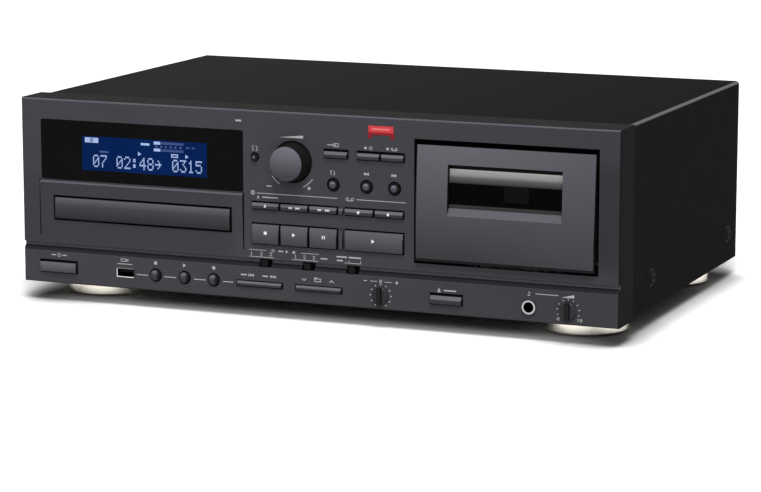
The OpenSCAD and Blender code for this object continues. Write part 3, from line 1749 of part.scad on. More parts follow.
front_panel();
display_window();
lcd_module();
top_cover();
bottom_chassis();
rear_panel();
feet();
foot_pads();
cover_screws();
front_board();
main_board();
rca_jacks();
power_inlet();
usb_port();
mic_jack();
loader_frame();
clamp_bridge();
cd_tray();
tray_front();
loading_gear();
traverse();
turntable();
laser_pickup();
deck_plate();
reel_spindle_left();
reel_spindle_right();
capstan_flywheel();
head_bridge();
cassette_door();
door_window();
cassette_holder();
power_button();
source_button();
record_left_button();
record_right_button();
open_close_button();
search_back_button();
search_forward_button();
tape_stop_button();
tape_record_button();
stop_button();
play_button();
pause_button();
tape_play_button();
eject_button();
reset_button();
repeat_button();
rewind_button();
forward_button();
file_stop_button();
file_play_button();
file_record_button();
skip_rocker();
folder_rocker();
level_knob();
pitch_knob();
mic_level_knob();
timer_switch();
monitor_switch();
speed_switch();
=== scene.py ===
"""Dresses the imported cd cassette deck: finishes, printed marks, display, floor, light and camera."""
import json
import math

import bpy
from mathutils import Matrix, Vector
from mathutils.bvhtree import BVHTree
from mathutils.geometry import tessellate_polygon


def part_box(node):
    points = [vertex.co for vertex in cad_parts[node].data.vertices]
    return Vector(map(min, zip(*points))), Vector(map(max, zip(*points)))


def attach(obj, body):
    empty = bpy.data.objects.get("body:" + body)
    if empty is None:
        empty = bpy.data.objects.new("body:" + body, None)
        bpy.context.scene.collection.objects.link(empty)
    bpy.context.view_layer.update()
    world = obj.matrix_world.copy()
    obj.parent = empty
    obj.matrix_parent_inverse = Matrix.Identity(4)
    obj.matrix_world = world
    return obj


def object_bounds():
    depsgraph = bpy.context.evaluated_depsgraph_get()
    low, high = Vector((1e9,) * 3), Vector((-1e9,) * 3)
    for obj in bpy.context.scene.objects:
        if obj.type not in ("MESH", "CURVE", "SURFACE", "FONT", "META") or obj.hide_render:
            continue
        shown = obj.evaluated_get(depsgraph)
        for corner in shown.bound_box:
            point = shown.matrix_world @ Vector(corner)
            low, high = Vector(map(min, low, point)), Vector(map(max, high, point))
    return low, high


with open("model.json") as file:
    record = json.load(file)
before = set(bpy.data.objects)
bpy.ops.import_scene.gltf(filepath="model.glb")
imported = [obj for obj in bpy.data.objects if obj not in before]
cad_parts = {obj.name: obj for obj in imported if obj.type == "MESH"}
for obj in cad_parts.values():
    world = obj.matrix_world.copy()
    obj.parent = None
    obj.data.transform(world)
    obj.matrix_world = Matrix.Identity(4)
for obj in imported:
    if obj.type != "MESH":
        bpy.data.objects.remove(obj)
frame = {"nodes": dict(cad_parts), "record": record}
cad_box = [list(corner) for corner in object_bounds()]
nodes = frame["nodes"]
record = frame["record"]
body_of = {node: body for body, names in record["behaviour"]["bodies"].items() for node in names}

# Places on the front are panel places in mm: x from the left end, y from the front face backwards and z from
# the lower edge of the front panel. LEFT, FACE and BASE are their zeros in the frame, in metres.
MM = 0.001
PANEL_DEEP = 29 * MM  # front face to the back of the front panel
panel_low, panel_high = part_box("front_panel")
LEFT, BASE, FACE = panel_low[0], panel_low[2], panel_high[1] - PANEL_DEEP
PRINT_PROUD = 0.04  # how far a print stands off the surface that carries it, in mm
PRINT_SINK = 0.06  # how far it reaches into that surface, in mm
PRINT_REACH = 60 * MM  # how far in front of the panel the search for that surface starts

SLOW_GRAIN = 18 * MM  # size of the soft clouds in every finish
ROUGH_VARY = 0.05  # how far a finish's roughness varies to each side
RELIEF = 0.6  # strength of the grain's bump
PLASTIC = (1.0, 0.97, 1.13)  # tint of the dark plastic
PRINT_TINT = (1.0, 1.0, 1.03)  # tint of the printing inks
CREAM = (1.0, 0.98, 0.93)  # tint of the white plastic
GROOVE = (22.4, 28.4)  # heights between which the groove along the front has painted light on its back wall and painted shade on its slope
DOOR_FACE = (295.9, 37.7, 418.7, 112.4)  # x0, z0, x1, z1 of the door's face inside its black edges of painted gap shade
DOOR_SHAPE = (356, 78, 372.5, 87.5)  # x0, z0, x1, z1 of the faint shape behind the door's lens
TRAY_RIM = (0.5, 0.6, -0.4, -0.5)  # from the tray front's box to its face, outside which lies painted gap shade: left, bottom, right, top
SLEEVE = 8.7  # how much of a jack's sleeve is nickel, from its end almost to its collar
BOARD_FRONT = 15.9  # depth just in front of the front board's face, where its green starts
BOARD_GREEN = 2.2  # how far over the main board's lower face its green ends
KNOB_SKIRT = (2.4, 2.7)  # depths behind a small knob's front between which its tone goes over to the skirt's


# Places and objects

def grey(value, tint=(1.0, 1.0, 1.0)):
    return tuple(value * t for t in tint) + (1.0,)


def side(x):
    return LEFT + x * MM


def height(z):
    return BASE + z * MM


def depth(y):
    return FACE + y * MM


def add_object(name, data):
    """A new object of this data in the scene."""
    obj = bpy.data.objects.new(name, data)
    bpy.context.scene.collection.objects.link(obj)
    return obj


def centre(node):
    """Middle of a node's box, as a panel place."""
    low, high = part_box(node)
    return ((low[0] + high[0]) / 2 - LEFT) / MM, ((low[2] + high[2]) / 2 - BASE) / MM


# Finishes

class Finish:
    """A node material whose noise gives colour variation, roughness and grain."""

    def __init__(self, name, colour, rough, grain=0.25, bump=0.004, vary=0.1, spec=0.1, metal=0.0):
        self.mat = bpy.data.materials.new(name)
        self.mat.use_nodes = True
        self.tree = self.mat.node_tree
        self.shader = self.tree.nodes["Principled BSDF"]
        self.coords = self.add("ShaderNodeTexCoord")
        self.fine = self.noise(1 / (grain * MM), 3)
        self.slow = self.noise(1 / SLOW_GRAIN, 2)
        low, high = (tuple(c * (1 + s * vary) for c in colour[:3]) + (1.0,) for s in (-1, 1))
        shares = (self.math("MULTIPLY", self.fine, 0.6), self.math("MULTIPLY", self.slow, 0.4))
        tone = self.math("ADD", *shares)
        self.colour = self.mix(self.fade(tone, 0.3, 0.7), low, high)
        self.shader.inputs["Metallic"].default_value = metal
        self.shader.inputs["Specular IOR Level"].default_value = spec
        self.rough = self.fade(tone, 0.3, 0.7, rough - ROUGH_VARY, rough + ROUGH_VARY)
        relief = self.add("ShaderNodeBump")
        relief.inputs["Strength"].default_value = RELIEF
        relief.inputs["Distance"].default_value = bump * MM
        self.link(self.fine, relief.inputs["Height"])
        self.link(relief.outputs["Normal"], self.shader.inputs["Normal"])

    def add(self, kind):
        return self.tree.nodes.new(kind)

    def link(self, a, b):
        self.tree.links.new(a, b)

    def put(self, value, socket):
        if isinstance(value, bpy.types.NodeSocket):
            self.link(value, socket)
        else:
            socket.default_value = value

    def noise(self, scale, detail, stretch=None):
        node = self.add("ShaderNodeTexNoise")
        node.inputs["Scale"].default_value = scale
        node.inputs["Detail"].default_value = detail
        where = self.coords.outputs["Object"]
        if stretch:
            mapping = self.add("ShaderNodeMapping")
            mapping.inputs["Scale"].default_value = stretch
            self.link(where, mapping.inputs["Vector"])
            where = mapping.outputs["Vector"]
        self.link(where, node.inputs["Vector"])
        return node.outputs["Fac"]

    def math(self, kind, a, b=0.0):
        node = self.add("ShaderNodeMath")
        node.operation = kind
        self.put(a, node.inputs[0])
        self.put(b, node.inputs[1])
        return node.outputs[0]

    def fade(self, value, start, end, low=0.0, high=1.0):
        node = self.add("ShaderNodeMapRange")
        node.inputs["From Min"].default_value = start
        node.inputs["From Max"].default_value = end
        node.inputs["To Min"].default_value = low
        node.inputs["To Max"].default_value = high
        self.link(value, node.inputs["Value"])
        return node.outputs["Result"]

    def mix(self, fac, a, b):
        node = self.add("ShaderNodeMix")
        node.data_type = "RGBA"
        self.put(fac, node.inputs["Factor"])
        self.put(a, node.inputs["A"])
        self.put(b, node.inputs["B"])
        return node.outputs["Result"]

    def part(self, source, axis):
        node = self.add("ShaderNodeSeparateXYZ")
        self.link(self.coords.outputs[source], node.inputs[0])
        return node.outputs[axis]

    def place(self, axis):
        return self.part("Object", axis)

    def facing(self, axis):
        """How far the surface looks along an axis, from -1 to 1."""
        return self.part("Normal", axis)

    def both(self, *masks):
        all_masks = masks[0]
        for mask in masks[1:]:
            all_masks = self.math("MULTIPLY", all_masks, mask)
        return all_masks

    def within(self, axis, start, end, soft):
        """A mask that is 1 between two places along an axis."""
        place = self.place(axis)
        return self.both(self.fade(place, start - soft, start), self.fade(place, end + soft, end))

    def around(self, node, start, end):
        """Goes from 0 to 1 with the distance from a node's middle on the panel, in mm."""
        x, z = centre(node)
        across = self.math("SUBTRACT", self.place("X"), side(x))
        upright = self.math("SUBTRACT", self.place("Z"), height(z))
        square_sum = self.math("ADD", self.math("POWER", across, 2.0), self.math("POWER", upright, 2.0))
        return self.fade(self.math("SQRT", square_sum), start * MM, end * MM)

    def over(self, mask, colour):
        """Goes over to another colour where the mask is 1."""
        self.colour = self.mix(mask, self.colour, colour)
        return self

    def paint_gap_shade_round(self, x0, z0, x1, z1, value=0.005):
        """Painted gap shade: black outside a rectangle of panel places."""
        inside = self.both(self.within("X", side(x0), side(x1), 0.2 * MM),
                           self.within("Z", height(z0), height(z1), 0.2 * MM))
        return self.over(self.math("SUBTRACT", 1.0, inside), grey(value))

    def along(self, axis, start, end, colour, share=1.0):
        """Goes over to another colour from one place along an axis to another."""
        return self.over(self.fade(self.place(axis), start, end, 0.0, share), colour)

    def paint_depth_shade(self, start, end, value=0.006):
        """Painted shade: near black behind the panel's face, where gaps and openings lie; depths in mm."""
        return self.along("Y", depth(start), depth(end), grey(value))

    def paint_upward_highlight(self, colour, start=0.15, end=0.4):
        """Painted highlight: faces that look upwards take another, lighter colour."""
        return self.over(self.fade(self.facing("Z"), start, end), colour)

    def paint_side_shade(self, value=0.010):
        """Painted shade: faces that look left or right go dark."""
        return self.over(self.fade(self.math("ABSOLUTE", self.facing("X")), 0.45, 0.8), grey(value))

    def done(self):
        self.link(self.colour, self.shader.inputs["Base Color"])
        self.link(self.rough, self.shader.inputs["Roughness"])
        return self.mat


def fascia_mat():
    """Satin moulding, darker round the tray, with painted shade towards its right end and beside the door,
    in its gaps and openings, on its top and on its sides, painted light and shade in the groove, and a
    painted highlight along its top edge.
    """
    finish = Finish("fascia_satin", grey(0.046, PLASTIC), 0.5, spec=0.003)
    # Painted shade: the face darkens towards its right end, and more beside the door.
    finish.along("X", side(200), side(425), grey(0.039, PLASTIC))
    shade_beside_door = finish.both(finish.fade(finish.place("X"), side(400), side(425)),
                              finish.within("Z", height(45), height(100), 12 * MM))
    finish.over(shade_beside_door, grey(0.029, PLASTIC))
    round_tray = finish.both(finish.fade(finish.place("X"), side(165), side(157)),
                             finish.within("Z", height(31), height(72), 10 * MM))
    finish.over(round_tray, grey(0.040, PLASTIC))
    finish.along("Z", height(2.5), height(0.5), grey(0.045))
    finish.along("Y", depth(-1.2), depth(-1.6), grey(0.046, PLASTIC))
    # Painted shade in the gaps and openings behind the face.
    finish.paint_depth_shade(0.3, 0.8, 0.008)
    up, z = finish.facing("Z"), finish.place("Z")
    # Painted light on the groove's back wall and painted shade on its upward slope.
    front = finish.fade(finish.place("Y"), depth(3.4), depth(3.2))
    groove = finish.within("Z", height(GROOVE[0]), height(GROOVE[1]), 0.1 * MM)
    finish.over(finish.both(front, groove), grey(0.072, PLASTIC))
    finish.over(finish.both(groove, finish.fade(up, 0.3, 0.6)), grey(0.018, PLASTIC))
    # Painted highlight on faces near the front that tilt upwards above the groove, such as the top edge.
    edge = finish.fade(finish.place("Y"), depth(1.6), depth(1.0))
    edge_highlight = finish.both(finish.fade(up, 0.25, 0.5), edge, finish.fade(z, height(31), height(33)))
    finish.over(edge_highlight, grey(0.088, PLASTIC))
    # Painted shade: faces that look straight up go near black, the panel's top a little less.
    level = finish.fade(up, 0.90, 0.99)
    finish.over(level, grey(0.004))
    finish.over(finish.both(level, finish.fade(z, height(124), height(125))), grey(0.012))
    return finish.paint_side_shade(0.010).done()


def door_mat():
    """Satin door with painted light towards its top, a painted highlight on the slope under the window,
    painted shade on its top faces and sides, and black edges of painted gap shade.
    """
    finish = Finish("door_satin", grey(0.032, PLASTIC), 0.42, spec=0.06)
    # Painted light towards the top, blended halfway towards a middle tone at the right.
    finish.along("Z", height(40), height(112), grey(0.094, PLASTIC))
    finish.along("X", side(330), side(419), grey(0.050, PLASTIC), 0.5)
    # Painted highlight on the upward slope under the window; painted shade on faces that look straight up,
    # on the sides, in the gaps round the face and behind it.
    finish.paint_upward_highlight(grey(0.085, PLASTIC), 0.2, 0.35)
    finish.over(finish.fade(finish.facing("Z"), 0.9, 0.97), grey(0.004))
    return finish.paint_side_shade(0.006).paint_gap_shade_round(*DOOR_FACE).paint_depth_shade(1.1, 1.6).done()


def tray_mat():
    """Satin tray front, darker below with painted light along its top, painted shade on its sides and black
    edges of painted gap shade.
    """
    finish = Finish("tray_satin", grey(0.018, PLASTIC), 0.42, spec=0.06)
    # Painted light: darker below, lighter towards the top; painted shade on the sides, in the gaps round the
    # face and behind it.
    finish.along("Z", height(46), height(56), grey(0.042, PLASTIC))
    finish.along("Z", height(55.5), height(61.5), grey(0.098, PLASTIC))
    low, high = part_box("tray_front")
    edges = (low[0] - LEFT, low[2] - BASE, high[0] - LEFT, high[2] - BASE)
    face = [edge / MM + inset for edge, inset in zip(edges, TRAY_RIM)]
    return finish.paint_side_shade(0.008).paint_gap_shade_round(*face).paint_depth_shade(0.2, 1.0).done()


def key_mat():
    """Low keys: a dark lower face and a painted highlight on the slope above it, with painted shade on their
    sides and in their gaps.
    """
    finish = Finish("key_satin", grey(0.030, PLASTIC), 0.40, spec=0.06)
    # Painted highlight on the upward slope; painted shade on the sides and in the gaps.
    return finish.paint_upward_highlight(grey(0.105, PLASTIC), 0.2, 0.4).paint_side_shade().paint_depth_shade(-0.3, 0.3).done()


def tall_key_mat():
    finish = Finish("tall_key_satin", grey(0.038, PLASTIC), 0.40, spec=0.08)
    # Painted light towards the top, and painted shade on the sides and in the gaps.
    finish.along("Z", height(40), height(52), grey(0.086, PLASTIC))
    return finish.paint_side_shade().paint_depth_shade(-0.3, 0.3).done()


def power_key_mat():
    finish = Finish("power_key_satin", grey(0.050, PLASTIC), 0.40, spec=0.08)
    # Painted light towards the top, and painted shade on the sides and in the gaps.
    finish.along("Z", height(9), height(14), grey(0.100, PLASTIC))
    return finish.paint_side_shade().paint_depth_shade(-0.3, 0.3).done()


def round_key_mat():
    """Domed keys with painted light towards their top and a black rim of painted shade."""
    finish = Finish("round_key_satin", grey(0.060, PLASTIC), 0.30, spec=0.02)
    # Painted highlight towards the top, a black rim of painted shade and painted shade in the gap.
    finish.paint_upward_highlight(grey(0.17, PLASTIC), 0.02, 0.30)
    finish.over(finish.fade(finish.facing("Y"), -0.965, -0.915), grey(0.006))
    return finish.paint_depth_shade(-0.6, 0.0).done()


def file_key_mat():
    """Domed keys with a painted highlight on their upper left, painted shade on their right side and a black
    rim of painted shade.
    """
    finish = Finish("file_key_satin", grey(0.044, PLASTIC), 0.30, spec=0.02)
    # Painted highlight on the upper left, painted shade on the right side, round the rim and in the gap.
    finish.paint_upward_highlight(grey(0.11, PLASTIC), 0.05, 0.35)
    finish.over(finish.fade(finish.facing("X"), 0.10, 0.35), grey(0.008))
    finish.over(finish.fade(finish.facing("Y"), -0.88, -0.82), grey(0.006))
    return finish.paint_depth_shade(-0.6, 0.0).done()


def reset_key_mat():
    """Black key with a small painted highlight in its middle."""
    finish = Finish("reset_key_satin", grey(0.16, PLASTIC), 0.30, spec=0.05)
    # Painted highlight in the middle, the rest black.
    return finish.over(finish.around("reset_button", 0.4, 1.1), grey(0.008)).done()


def knob_mat():
    """Satin domed face with painted light towards its top, and painted shade on its side."""
    finish = Finish("knob_satin", grey(0.046, PLASTIC), 0.38, grain=0.2, spec=0.05)
    middle = centre("level_knob")[1]
    # Painted light towards the top of the face, and painted shade on the side.
    finish.along("Z", height(middle - 8), height(middle + 11), grey(0.120, PLASTIC))
    return finish.over(finish.fade(finish.facing("Y"), -0.85, -0.5), grey(0.009)).done()


def small_knob_mat():
    """Black grip on a lighter skirt."""
    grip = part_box("pitch_knob")[0][1]
    finish = Finish("small_knob", grey(0.006, PLASTIC), 0.36, spec=0.10)
    start, end = (grip + part * MM for part in KNOB_SKIRT)
    return finish.along("Y", start, end, grey(0.022, PLASTIC)).done()


def slider_mat():
    return Finish("slider_black", grey(0.006), 0.4, grain=0.3, bump=0.004, vary=0.15, spec=0.05).done()


def cover_mat():
    """Black paint with painted shade towards its right and on its sides, and a painted highlight where the
    sheet is bent along its two sides.
    """
    finish = Finish("cover_paint", grey(0.018), 0.7, grain=0.5, bump=0.010, vary=0.15, spec=0.002)
    # Painted shade towards the right and on the sides; painted highlight on the bends.
    finish.along("X", side(60), side(430), grey(0.009)).paint_side_shade(0.011)
    bend_highlight = finish.both(finish.fade(finish.math("ABSOLUTE", finish.facing("X")), 0.2, 0.45),
                       finish.fade(finish.facing("Z"), 0.2, 0.45))
    return finish.over(bend_highlight, grey(0.13)).done()


def screw_mat():
    tone = grey(0.012, (1.0, 0.92, 0.88))
    return Finish("black_oxide", tone, 0.5, grain=0.2, bump=0.004, vary=0.3, spec=0.01).done()


def foot_mat():
    """Champagne metal with soft upright streaks of painted reflection."""
    tone = grey(0.97, (1.0, 0.95, 0.84))
    finish = Finish("champagne", tone, 0.24, grain=0.5, bump=0.002, vary=0.04, metal=1.0)
    # Painted reflection: soft upright streaks.
    upright_reflections = finish.noise(60, 1, (1.0, 1.0, 0.02))
    return finish.over(finish.fade(upright_reflections, 0.45, 0.6, 0.0, 0.35), grey(0.80, (1.0, 0.93, 0.80))).done()


def port_mat():
    """Bright metal shell with painted shade on its upper and right rims and black painted shade inside it.
    """
    x, z = centre("usb_port")
    finish = Finish("port_shell", grey(0.62), 0.22, grain=0.6, bump=0.001, vary=0.05, metal=0.9)
    # Painted shade on the upper and right rims and inside the shell.
    finish.along("Z", height(z + 2.2), height(z + 2.6), grey(0.16))
    finish.along("X", side(x + 5.8), side(x + 6.3), grey(0.05))
    return finish.paint_depth_shade(0.2, 0.6, 0.004).done()


def ring_mat():
    """Thin bright metal ring with painted shade inside it and round its outside."""
    finish = Finish("jack_ring", grey(0.42), 0.25, grain=0.6, bump=0.001, vary=0.05, metal=0.9)
    # Painted shade round the outside, inside the ring and behind its face.
    finish.over(finish.around("mic_jack", 4.4, 4.7), grey(0.05))
    finish.over(finish.around("mic_jack", 3.7, 3.4), grey(0.004))
    return finish.paint_depth_shade(-0.9, -0.5, 0.004).done()


def jack_mat():
    """Nickel sleeves on plastic collars, white above and red below."""
    low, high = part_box("rca_jacks")
    tone = grey(0.62, (1.0, 0.99, 0.95))
    finish = Finish("nickel", tone, 0.25, grain=0.5, bump=0.001, vary=0.06, metal=0.4)
    middle = (low[2] + high[2]) / 2
    upper = finish.fade(finish.place("Z"), middle - 0.1 * MM, middle + 0.1 * MM)
    collar = finish.mix(upper, (0.42, 0.015, 0.018, 1.0), grey(0.62))
    sleeve_foot = high[1] - SLEEVE * MM
    return finish.over(finish.fade(finish.place("Y"), sleeve_foot, sleeve_foot - 0.1 * MM), collar).done()


def dark_steel():
    """Dull black plating with faint brush marks along x."""
    finish = Finish("black_plating", grey(0.014), 0.6, grain=0.5, bump=0.003, vary=0.15, spec=0.02)
    brushed = finish.noise(900, 2, (0.06, 1.0, 1.0))
    return finish.over(finish.fade(brushed, 0.35, 0.65, 0.0, 0.5), grey(0.010)).done()


def sheet_steel():
    """Zinc plated sheet, with long brush marks along x."""
    tone = grey(0.55, (1.0, 1.01, 1.02))
    finish = Finish("zinc_sheet", tone, 0.36, grain=0.5, bump=0.002, vary=0.12, metal=1.0)
    brushed = finish.noise(900, 2, (0.06, 1.0, 1.0))
    return finish.over(finish.fade(brushed, 0.35, 0.65, 0.0, 0.35), grey(0.36)).done()


def board(name):
    """Green circuit board with lighter traces."""
    finish = Finish(name, (0.012, 0.09, 0.035, 1.0), 0.4, grain=0.6, bump=0.004, vary=0.2, spec=0.3)
    brick = finish.add("ShaderNodeTexBrick")
    brick.inputs["Scale"].default_value = 160
    brick.inputs["Mortar Size"].default_value = 0.03
    for socket, value in (("Color1", 0.0), ("Color2", 0.0), ("Mortar", 1.0)):
        brick.inputs[socket].default_value = grey(value)
    finish.link(finish.coords.outputs["Object"], brick.inputs["Vector"])
    return finish.over(finish.math("MULTIPLY", brick.outputs["Color"], 0.6), (0.03, 0.17, 0.07, 1.0))


def front_board_mat():
    """The board itself is green; what stands in front of it is dark."""
    board_front = depth(BOARD_FRONT)
    finish = board("front_board")
    return finish.along("Y", board_front, board_front - 0.1 * MM, grey(0.010)).done()


def main_board_mat():
    """The board itself is green; what stands on it is dark."""
    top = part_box("main_board")[0][2] + BOARD_GREEN * MM
    return board("main_board").along("Z", top, top + 0.1 * MM, grey(0.05)).done()


def lens_mat():
    """Smoked gloss lens with a painted reflection that grows pale along its top, painted shade along its top
    edge, a lighter foot and a faint shape behind it.
    """
    finish = Finish("door_lens", grey(0.0010), 0.12, grain=1.5, bump=0.0004, vary=0.2, spec=0.01)
    z = finish.place("Z")
    # Painted reflection: grows pale towards the lens's top.
    lower, middle, upper = grey(0.022, (0.97, 1.0, 1.0)), grey(0.085), grey(0.42)
    reflection_band = finish.mix(finish.fade(z, height(88.3), height(92.5)), lower, middle)
    reflection_band = finish.mix(finish.fade(z, height(92.0), height(97.0)), reflection_band, upper)
    x0, z0, x1, z1 = DOOR_SHAPE
    shape = finish.both(finish.within("X", side(x0), side(x1), 0.6 * MM),
                        finish.within("Z", height(z0), height(z1), 0.6 * MM))
    finish.over(shape, grey(0.004))
    finish.over(finish.fade(z, height(88.1), height(88.6)), reflection_band)
    # Painted shade along the top edge.
    finish.over(finish.fade(z, height(97.2), height(97.5)), grey(0.006))
    return finish.over(finish.fade(z, height(74.2), height(73.9)), grey(0.030)).done()


def lit(name, colour, strength, vary):
    """A softly lit surface, a little uneven and without gloss."""
    finish = Finish(name, grey(0.001), 0.12, grain=0.5, bump=0.0003, vary=0.1, spec=0.0)
    tone = finish.fade(finish.slow, 0.3, 0.7, 1 - vary, 1 + vary)
    finish.shader.inputs["Emission Color"].default_value = colour
    finish.link(finish.math("MULTIPLY", tone, strength), finish.shader.inputs["Emission Strength"])
    return finish.done()


def ink(name, colour, vary=0.06):
    """Matt printing ink."""
    return Finish(name, colour, 0.55, grain=0.15, bump=0.001, vary=vary).done()


def enamel(name, red, green, blue):
    return Finish(name, (red, green, blue, 1.0), 0.4, grain=0.3, bump=0.001).done()


print_mat = ink("print_grey", grey(0.34, PRINT_TINT))
sign_mat = ink("sign_white", grey(0.62, PRINT_TINT), 0.05)
red_mat = enamel("badge_red", 0.46, 0.040, 0.045)
pale_red_mat = enamel("badge_pale", 0.60, 0.13, 0.13)
dark_red_mat = enamel("badge_dark", 0.20, 0.010, 0.016)
window_mat = Finish("window_gloss", grey(0.003), 0.10, grain=1.5, bump=0.0004, vary=0.2, spec=0.02).done()
rear_mat = Finish("rear_paint", grey(0.035), 0.55, grain=0.5, bump=0.008, vary=0.15, spec=0.1).done()
rubber_mat = Finish("rubber", grey(0.012), 0.8, grain=0.4, bump=0.01, vary=0.2, spec=0.1).done()
black_mat = Finish("black_moulding", grey(0.012), 0.45, grain=0.3, bump=0.006, vary=0.15, spec=0.15).done()
white_mat = Finish("white_moulding", grey(0.70, CREAM), 0.4, grain=0.4, bump=0.004, vary=0.05).done()
lcd_mat = lit("lcd_blue", (0.0014, 0.0145, 0.086, 1.0), 1.0, 0.12)
glyph_mat = lit("lcd_glyph", (0.48, 0.62, 1.0, 1.0), 0.85, 0.05)
dim_glyph_mat = lit("lcd_dim_glyph", (0.08, 0.115, 0.29, 1.0), 0.9, 0.05)

by_slot = {
    "fascia": fascia_mat(), "door": door_mat(), "keys": key_mat(), "knob": small_knob_mat(),
    "window": window_mat, "display": lcd_mat, "lens": lens_mat(), "cover": cover_mat(),
    "rear": rear_mat, "zinc": sheet_steel(), "foot": foot_mat(), "pad": rubber_mat,
    "screw": screw_mat(), "board": front_board_mat(), "jack": jack_mat(),
    "black_plastic": black_mat, "white_plastic": white_mat,
}
by_node = {
    "tray_front": tray_mat(), "level_knob": knob_mat(), "main_board": main_board_mat(),
    "power_button": power_key_mat(), "reset_button": reset_key_mat(), "usb_port": port_mat(),
    "mic_jack": ring_mat(), "deck_plate": dark_steel(), "bottom_chassis": dark_steel(),
}
alike = (
    (slider_mat(), "_switch", ("timer", "monitor", "speed")),
    (tall_key_mat(), "_button", ("stop", "play", "pause", "tape_play")),
    (round_key_mat(), "_button", ("repeat", "rewind", "forward")),
    (file_key_mat(), "_button", ("file_stop", "file_play", "file_record")),
)
for mat, kind, names in alike:
    for name in names:
        by_node[name + kind] = mat
slot_of = {part["node"]: part["material_slot"] for part in record["subparts"]}
for name, obj in nodes.items():
    mat = by_node.get(name) or by_slot[slot_of[name]]
    if not obj.material_slots:
        obj.data.materials.append(mat)
    for place in obj.material_slots:
        place.material = mat


# Printed marks

# A shape is a list of loops of panel places (x, z) in mm: an outline, then its holes.

def rect(x0, z0, x1, z1):
    return [[[(x0, z0), (x1, z0), (x1, z1), (x0, z1)]]]


def bar(x0, x1, z, thick=0.6):
    return rect(x0, z - thick / 2, x1, z + thick / 2)


def square(x, z, size):
    return rect(x - size / 2, z - size / 2, x + size / 2, z + size / 2)


def circle(x, z, r, count=28):
    """One loop of points."""
    return [(x + r * math.cos(2 * math.pi * i / count), z + r * math.sin(2 * math.pi * i / count))
            for i in range(count)]


def disc(x, z, r):
    return [[circle(x, z, r)]]


def ring(x, z, r, thick):
    return [[circle(x, z, r), circle(x, z, r - thick)]]


def arc(x, z, r, thick, start, end, count=14):
    """Part of a ring, from one angle to another in degrees, counted from the top and clockwise."""
    angles = [math.radians(start + (end - start) * i / count) for i in range(count + 1)]
    outer = [(x + r * math.sin(a), z + r * math.cos(a)) for a in angles]
    inner = [(x + (r - thick) * math.sin(a), z + (r - thick) * math.cos(a)) for a in angles]
    return [[outer + inner[::-1]]]


def line(x0, z0, x1, z1, thick):
    dx, dz = x1 - x0, z1 - z0
    k = thick / 2 / math.hypot(dx, dz)
    nx, nz = -dz * k, dx * k
    return [[[(x0 + nx, z0 + nz), (x0 - nx, z0 - nz), (x1 - nx, z1 - nz), (x1 + nx, z1 + nz)]]]


def arrow(x, z, size, turn):
    """A triangle that points right at turn 0, up at 90."""
    a = math.radians(turn)
    c, s = math.cos(a), math.sin(a)
    points = [(0.5 * size, 0), (-0.45 * size, 0.55 * size), (-0.45 * size, -0.55 * size)]
    return [[[(x + p * c - q * s, z + p * s + q * c) for p, q in points]]]


def double(x, z, size, turn, stop=False):
    """Two triangles in a row, with or without a bar at their tip."""
    s = 1 if turn == 0 else -1
    shapes = arrow(x - s * 0.48 * size, z, size, turn) + arrow(x + s * 0.48 * size, z, size, turn)
    if stop:
        tip, half = x + s * 1.08 * size, 0.12 * size
        shapes += rect(tip - half, z - 0.55 * size, tip + half, z + 0.55 * size)
    return shapes


def chevron(x, z, size, up):
    s = 1 if up else -1
    return (line(x - size, z - s * size * 0.5, x, z + s * size * 0.5, 0.55)
            + line(x, z + s * size * 0.5, x + size, z - s * size * 0.5, 0.55))


def eject_sign(x, z, size):
    half = 0.55 * size
    return arrow(x, z + 0.2 * size, size, 90) + bar(x - half, x + half, z - half, 0.26 * size)


def power_sign(x, z, r):
    return arc(x, z, r, 0.4, 35, 325, 24) + line(x, z + 0.1, x, z + r + 0.4, 0.4)


def loop_sign(x, z, r):
    return (arc(x, z, r, 0.45, 20, 150) + arc(x, z, r, 0.45, 200, 330)
            + arrow(x + r * 0.62, z - r * 0.8, 1.2, 215) + arrow(x - r * 0.62, z + r * 0.8, 1.2, 35))


def reels_sign(x, z, r):
    apart = 1.7 * r
    return ring(x - apart, z, r, 0.4) + ring(x + apart, z, r, 0.4) + bar(x - apart, x + apart, z - r, 0.4)


def wedge(x0, x1, z0, z1):
    return [[[(x0, z0), (x1, z0), (x1, z1)]]]


def box_outline(x0, z0, x1, z1, thick=0.4):
    outer = rect(x0, z0, x1, z1)[0]
    return [outer + rect(x0 + thick, z0 + thick, x1 - thick, z1 - thick)[0]]


def plus(x, z, size, thick):
    far, near = size / 2, thick / 2
    arms = bar(x - far, x - near, z, thick) + bar(x + near, x + far, z, thick)
    return arms + rect(x - near, z - far, x + near, z + far)


# Rows of dots of each figure in use, from the top, five to a row
DIGITS = {
    "0": (14, 17, 19, 21, 25, 17, 14), "1": (4, 12, 4, 4, 4, 4, 14), "2": (14, 17, 1, 2, 4, 8, 31),
    "3": (31, 2, 4, 2, 1, 17, 14), "4": (2, 6, 10, 18, 31, 2, 2), "5": (31, 16, 30, 1, 1, 17, 14),
    "7": (31, 1, 2, 4, 8, 8, 8), "8": (14, 17, 17, 14, 17, 17, 14),
    ":": (0, 12, 12, 0, 12, 12, 0), ">": (0, 4, 2, 31, 2, 4, 0),
}


def dotted(text, x, z, dot_w, dot_h, pitch, fill=0.84):
    """A line of dot figures whose first one's lower left corner is at (x, z)."""
    shapes = []
    for place, sign in enumerate(text):
        for row, bits in enumerate(DIGITS.get(sign, ())):
            for column in range(5):
                if bits >> (4 - column) & 1:
                    x0 = x + place * pitch + column * dot_w
                    z0 = z + (6 - row) * dot_h
                    shapes += rect(x0, z0, x0 + dot_w * fill, z0 + dot_h * fill)
    return shapes


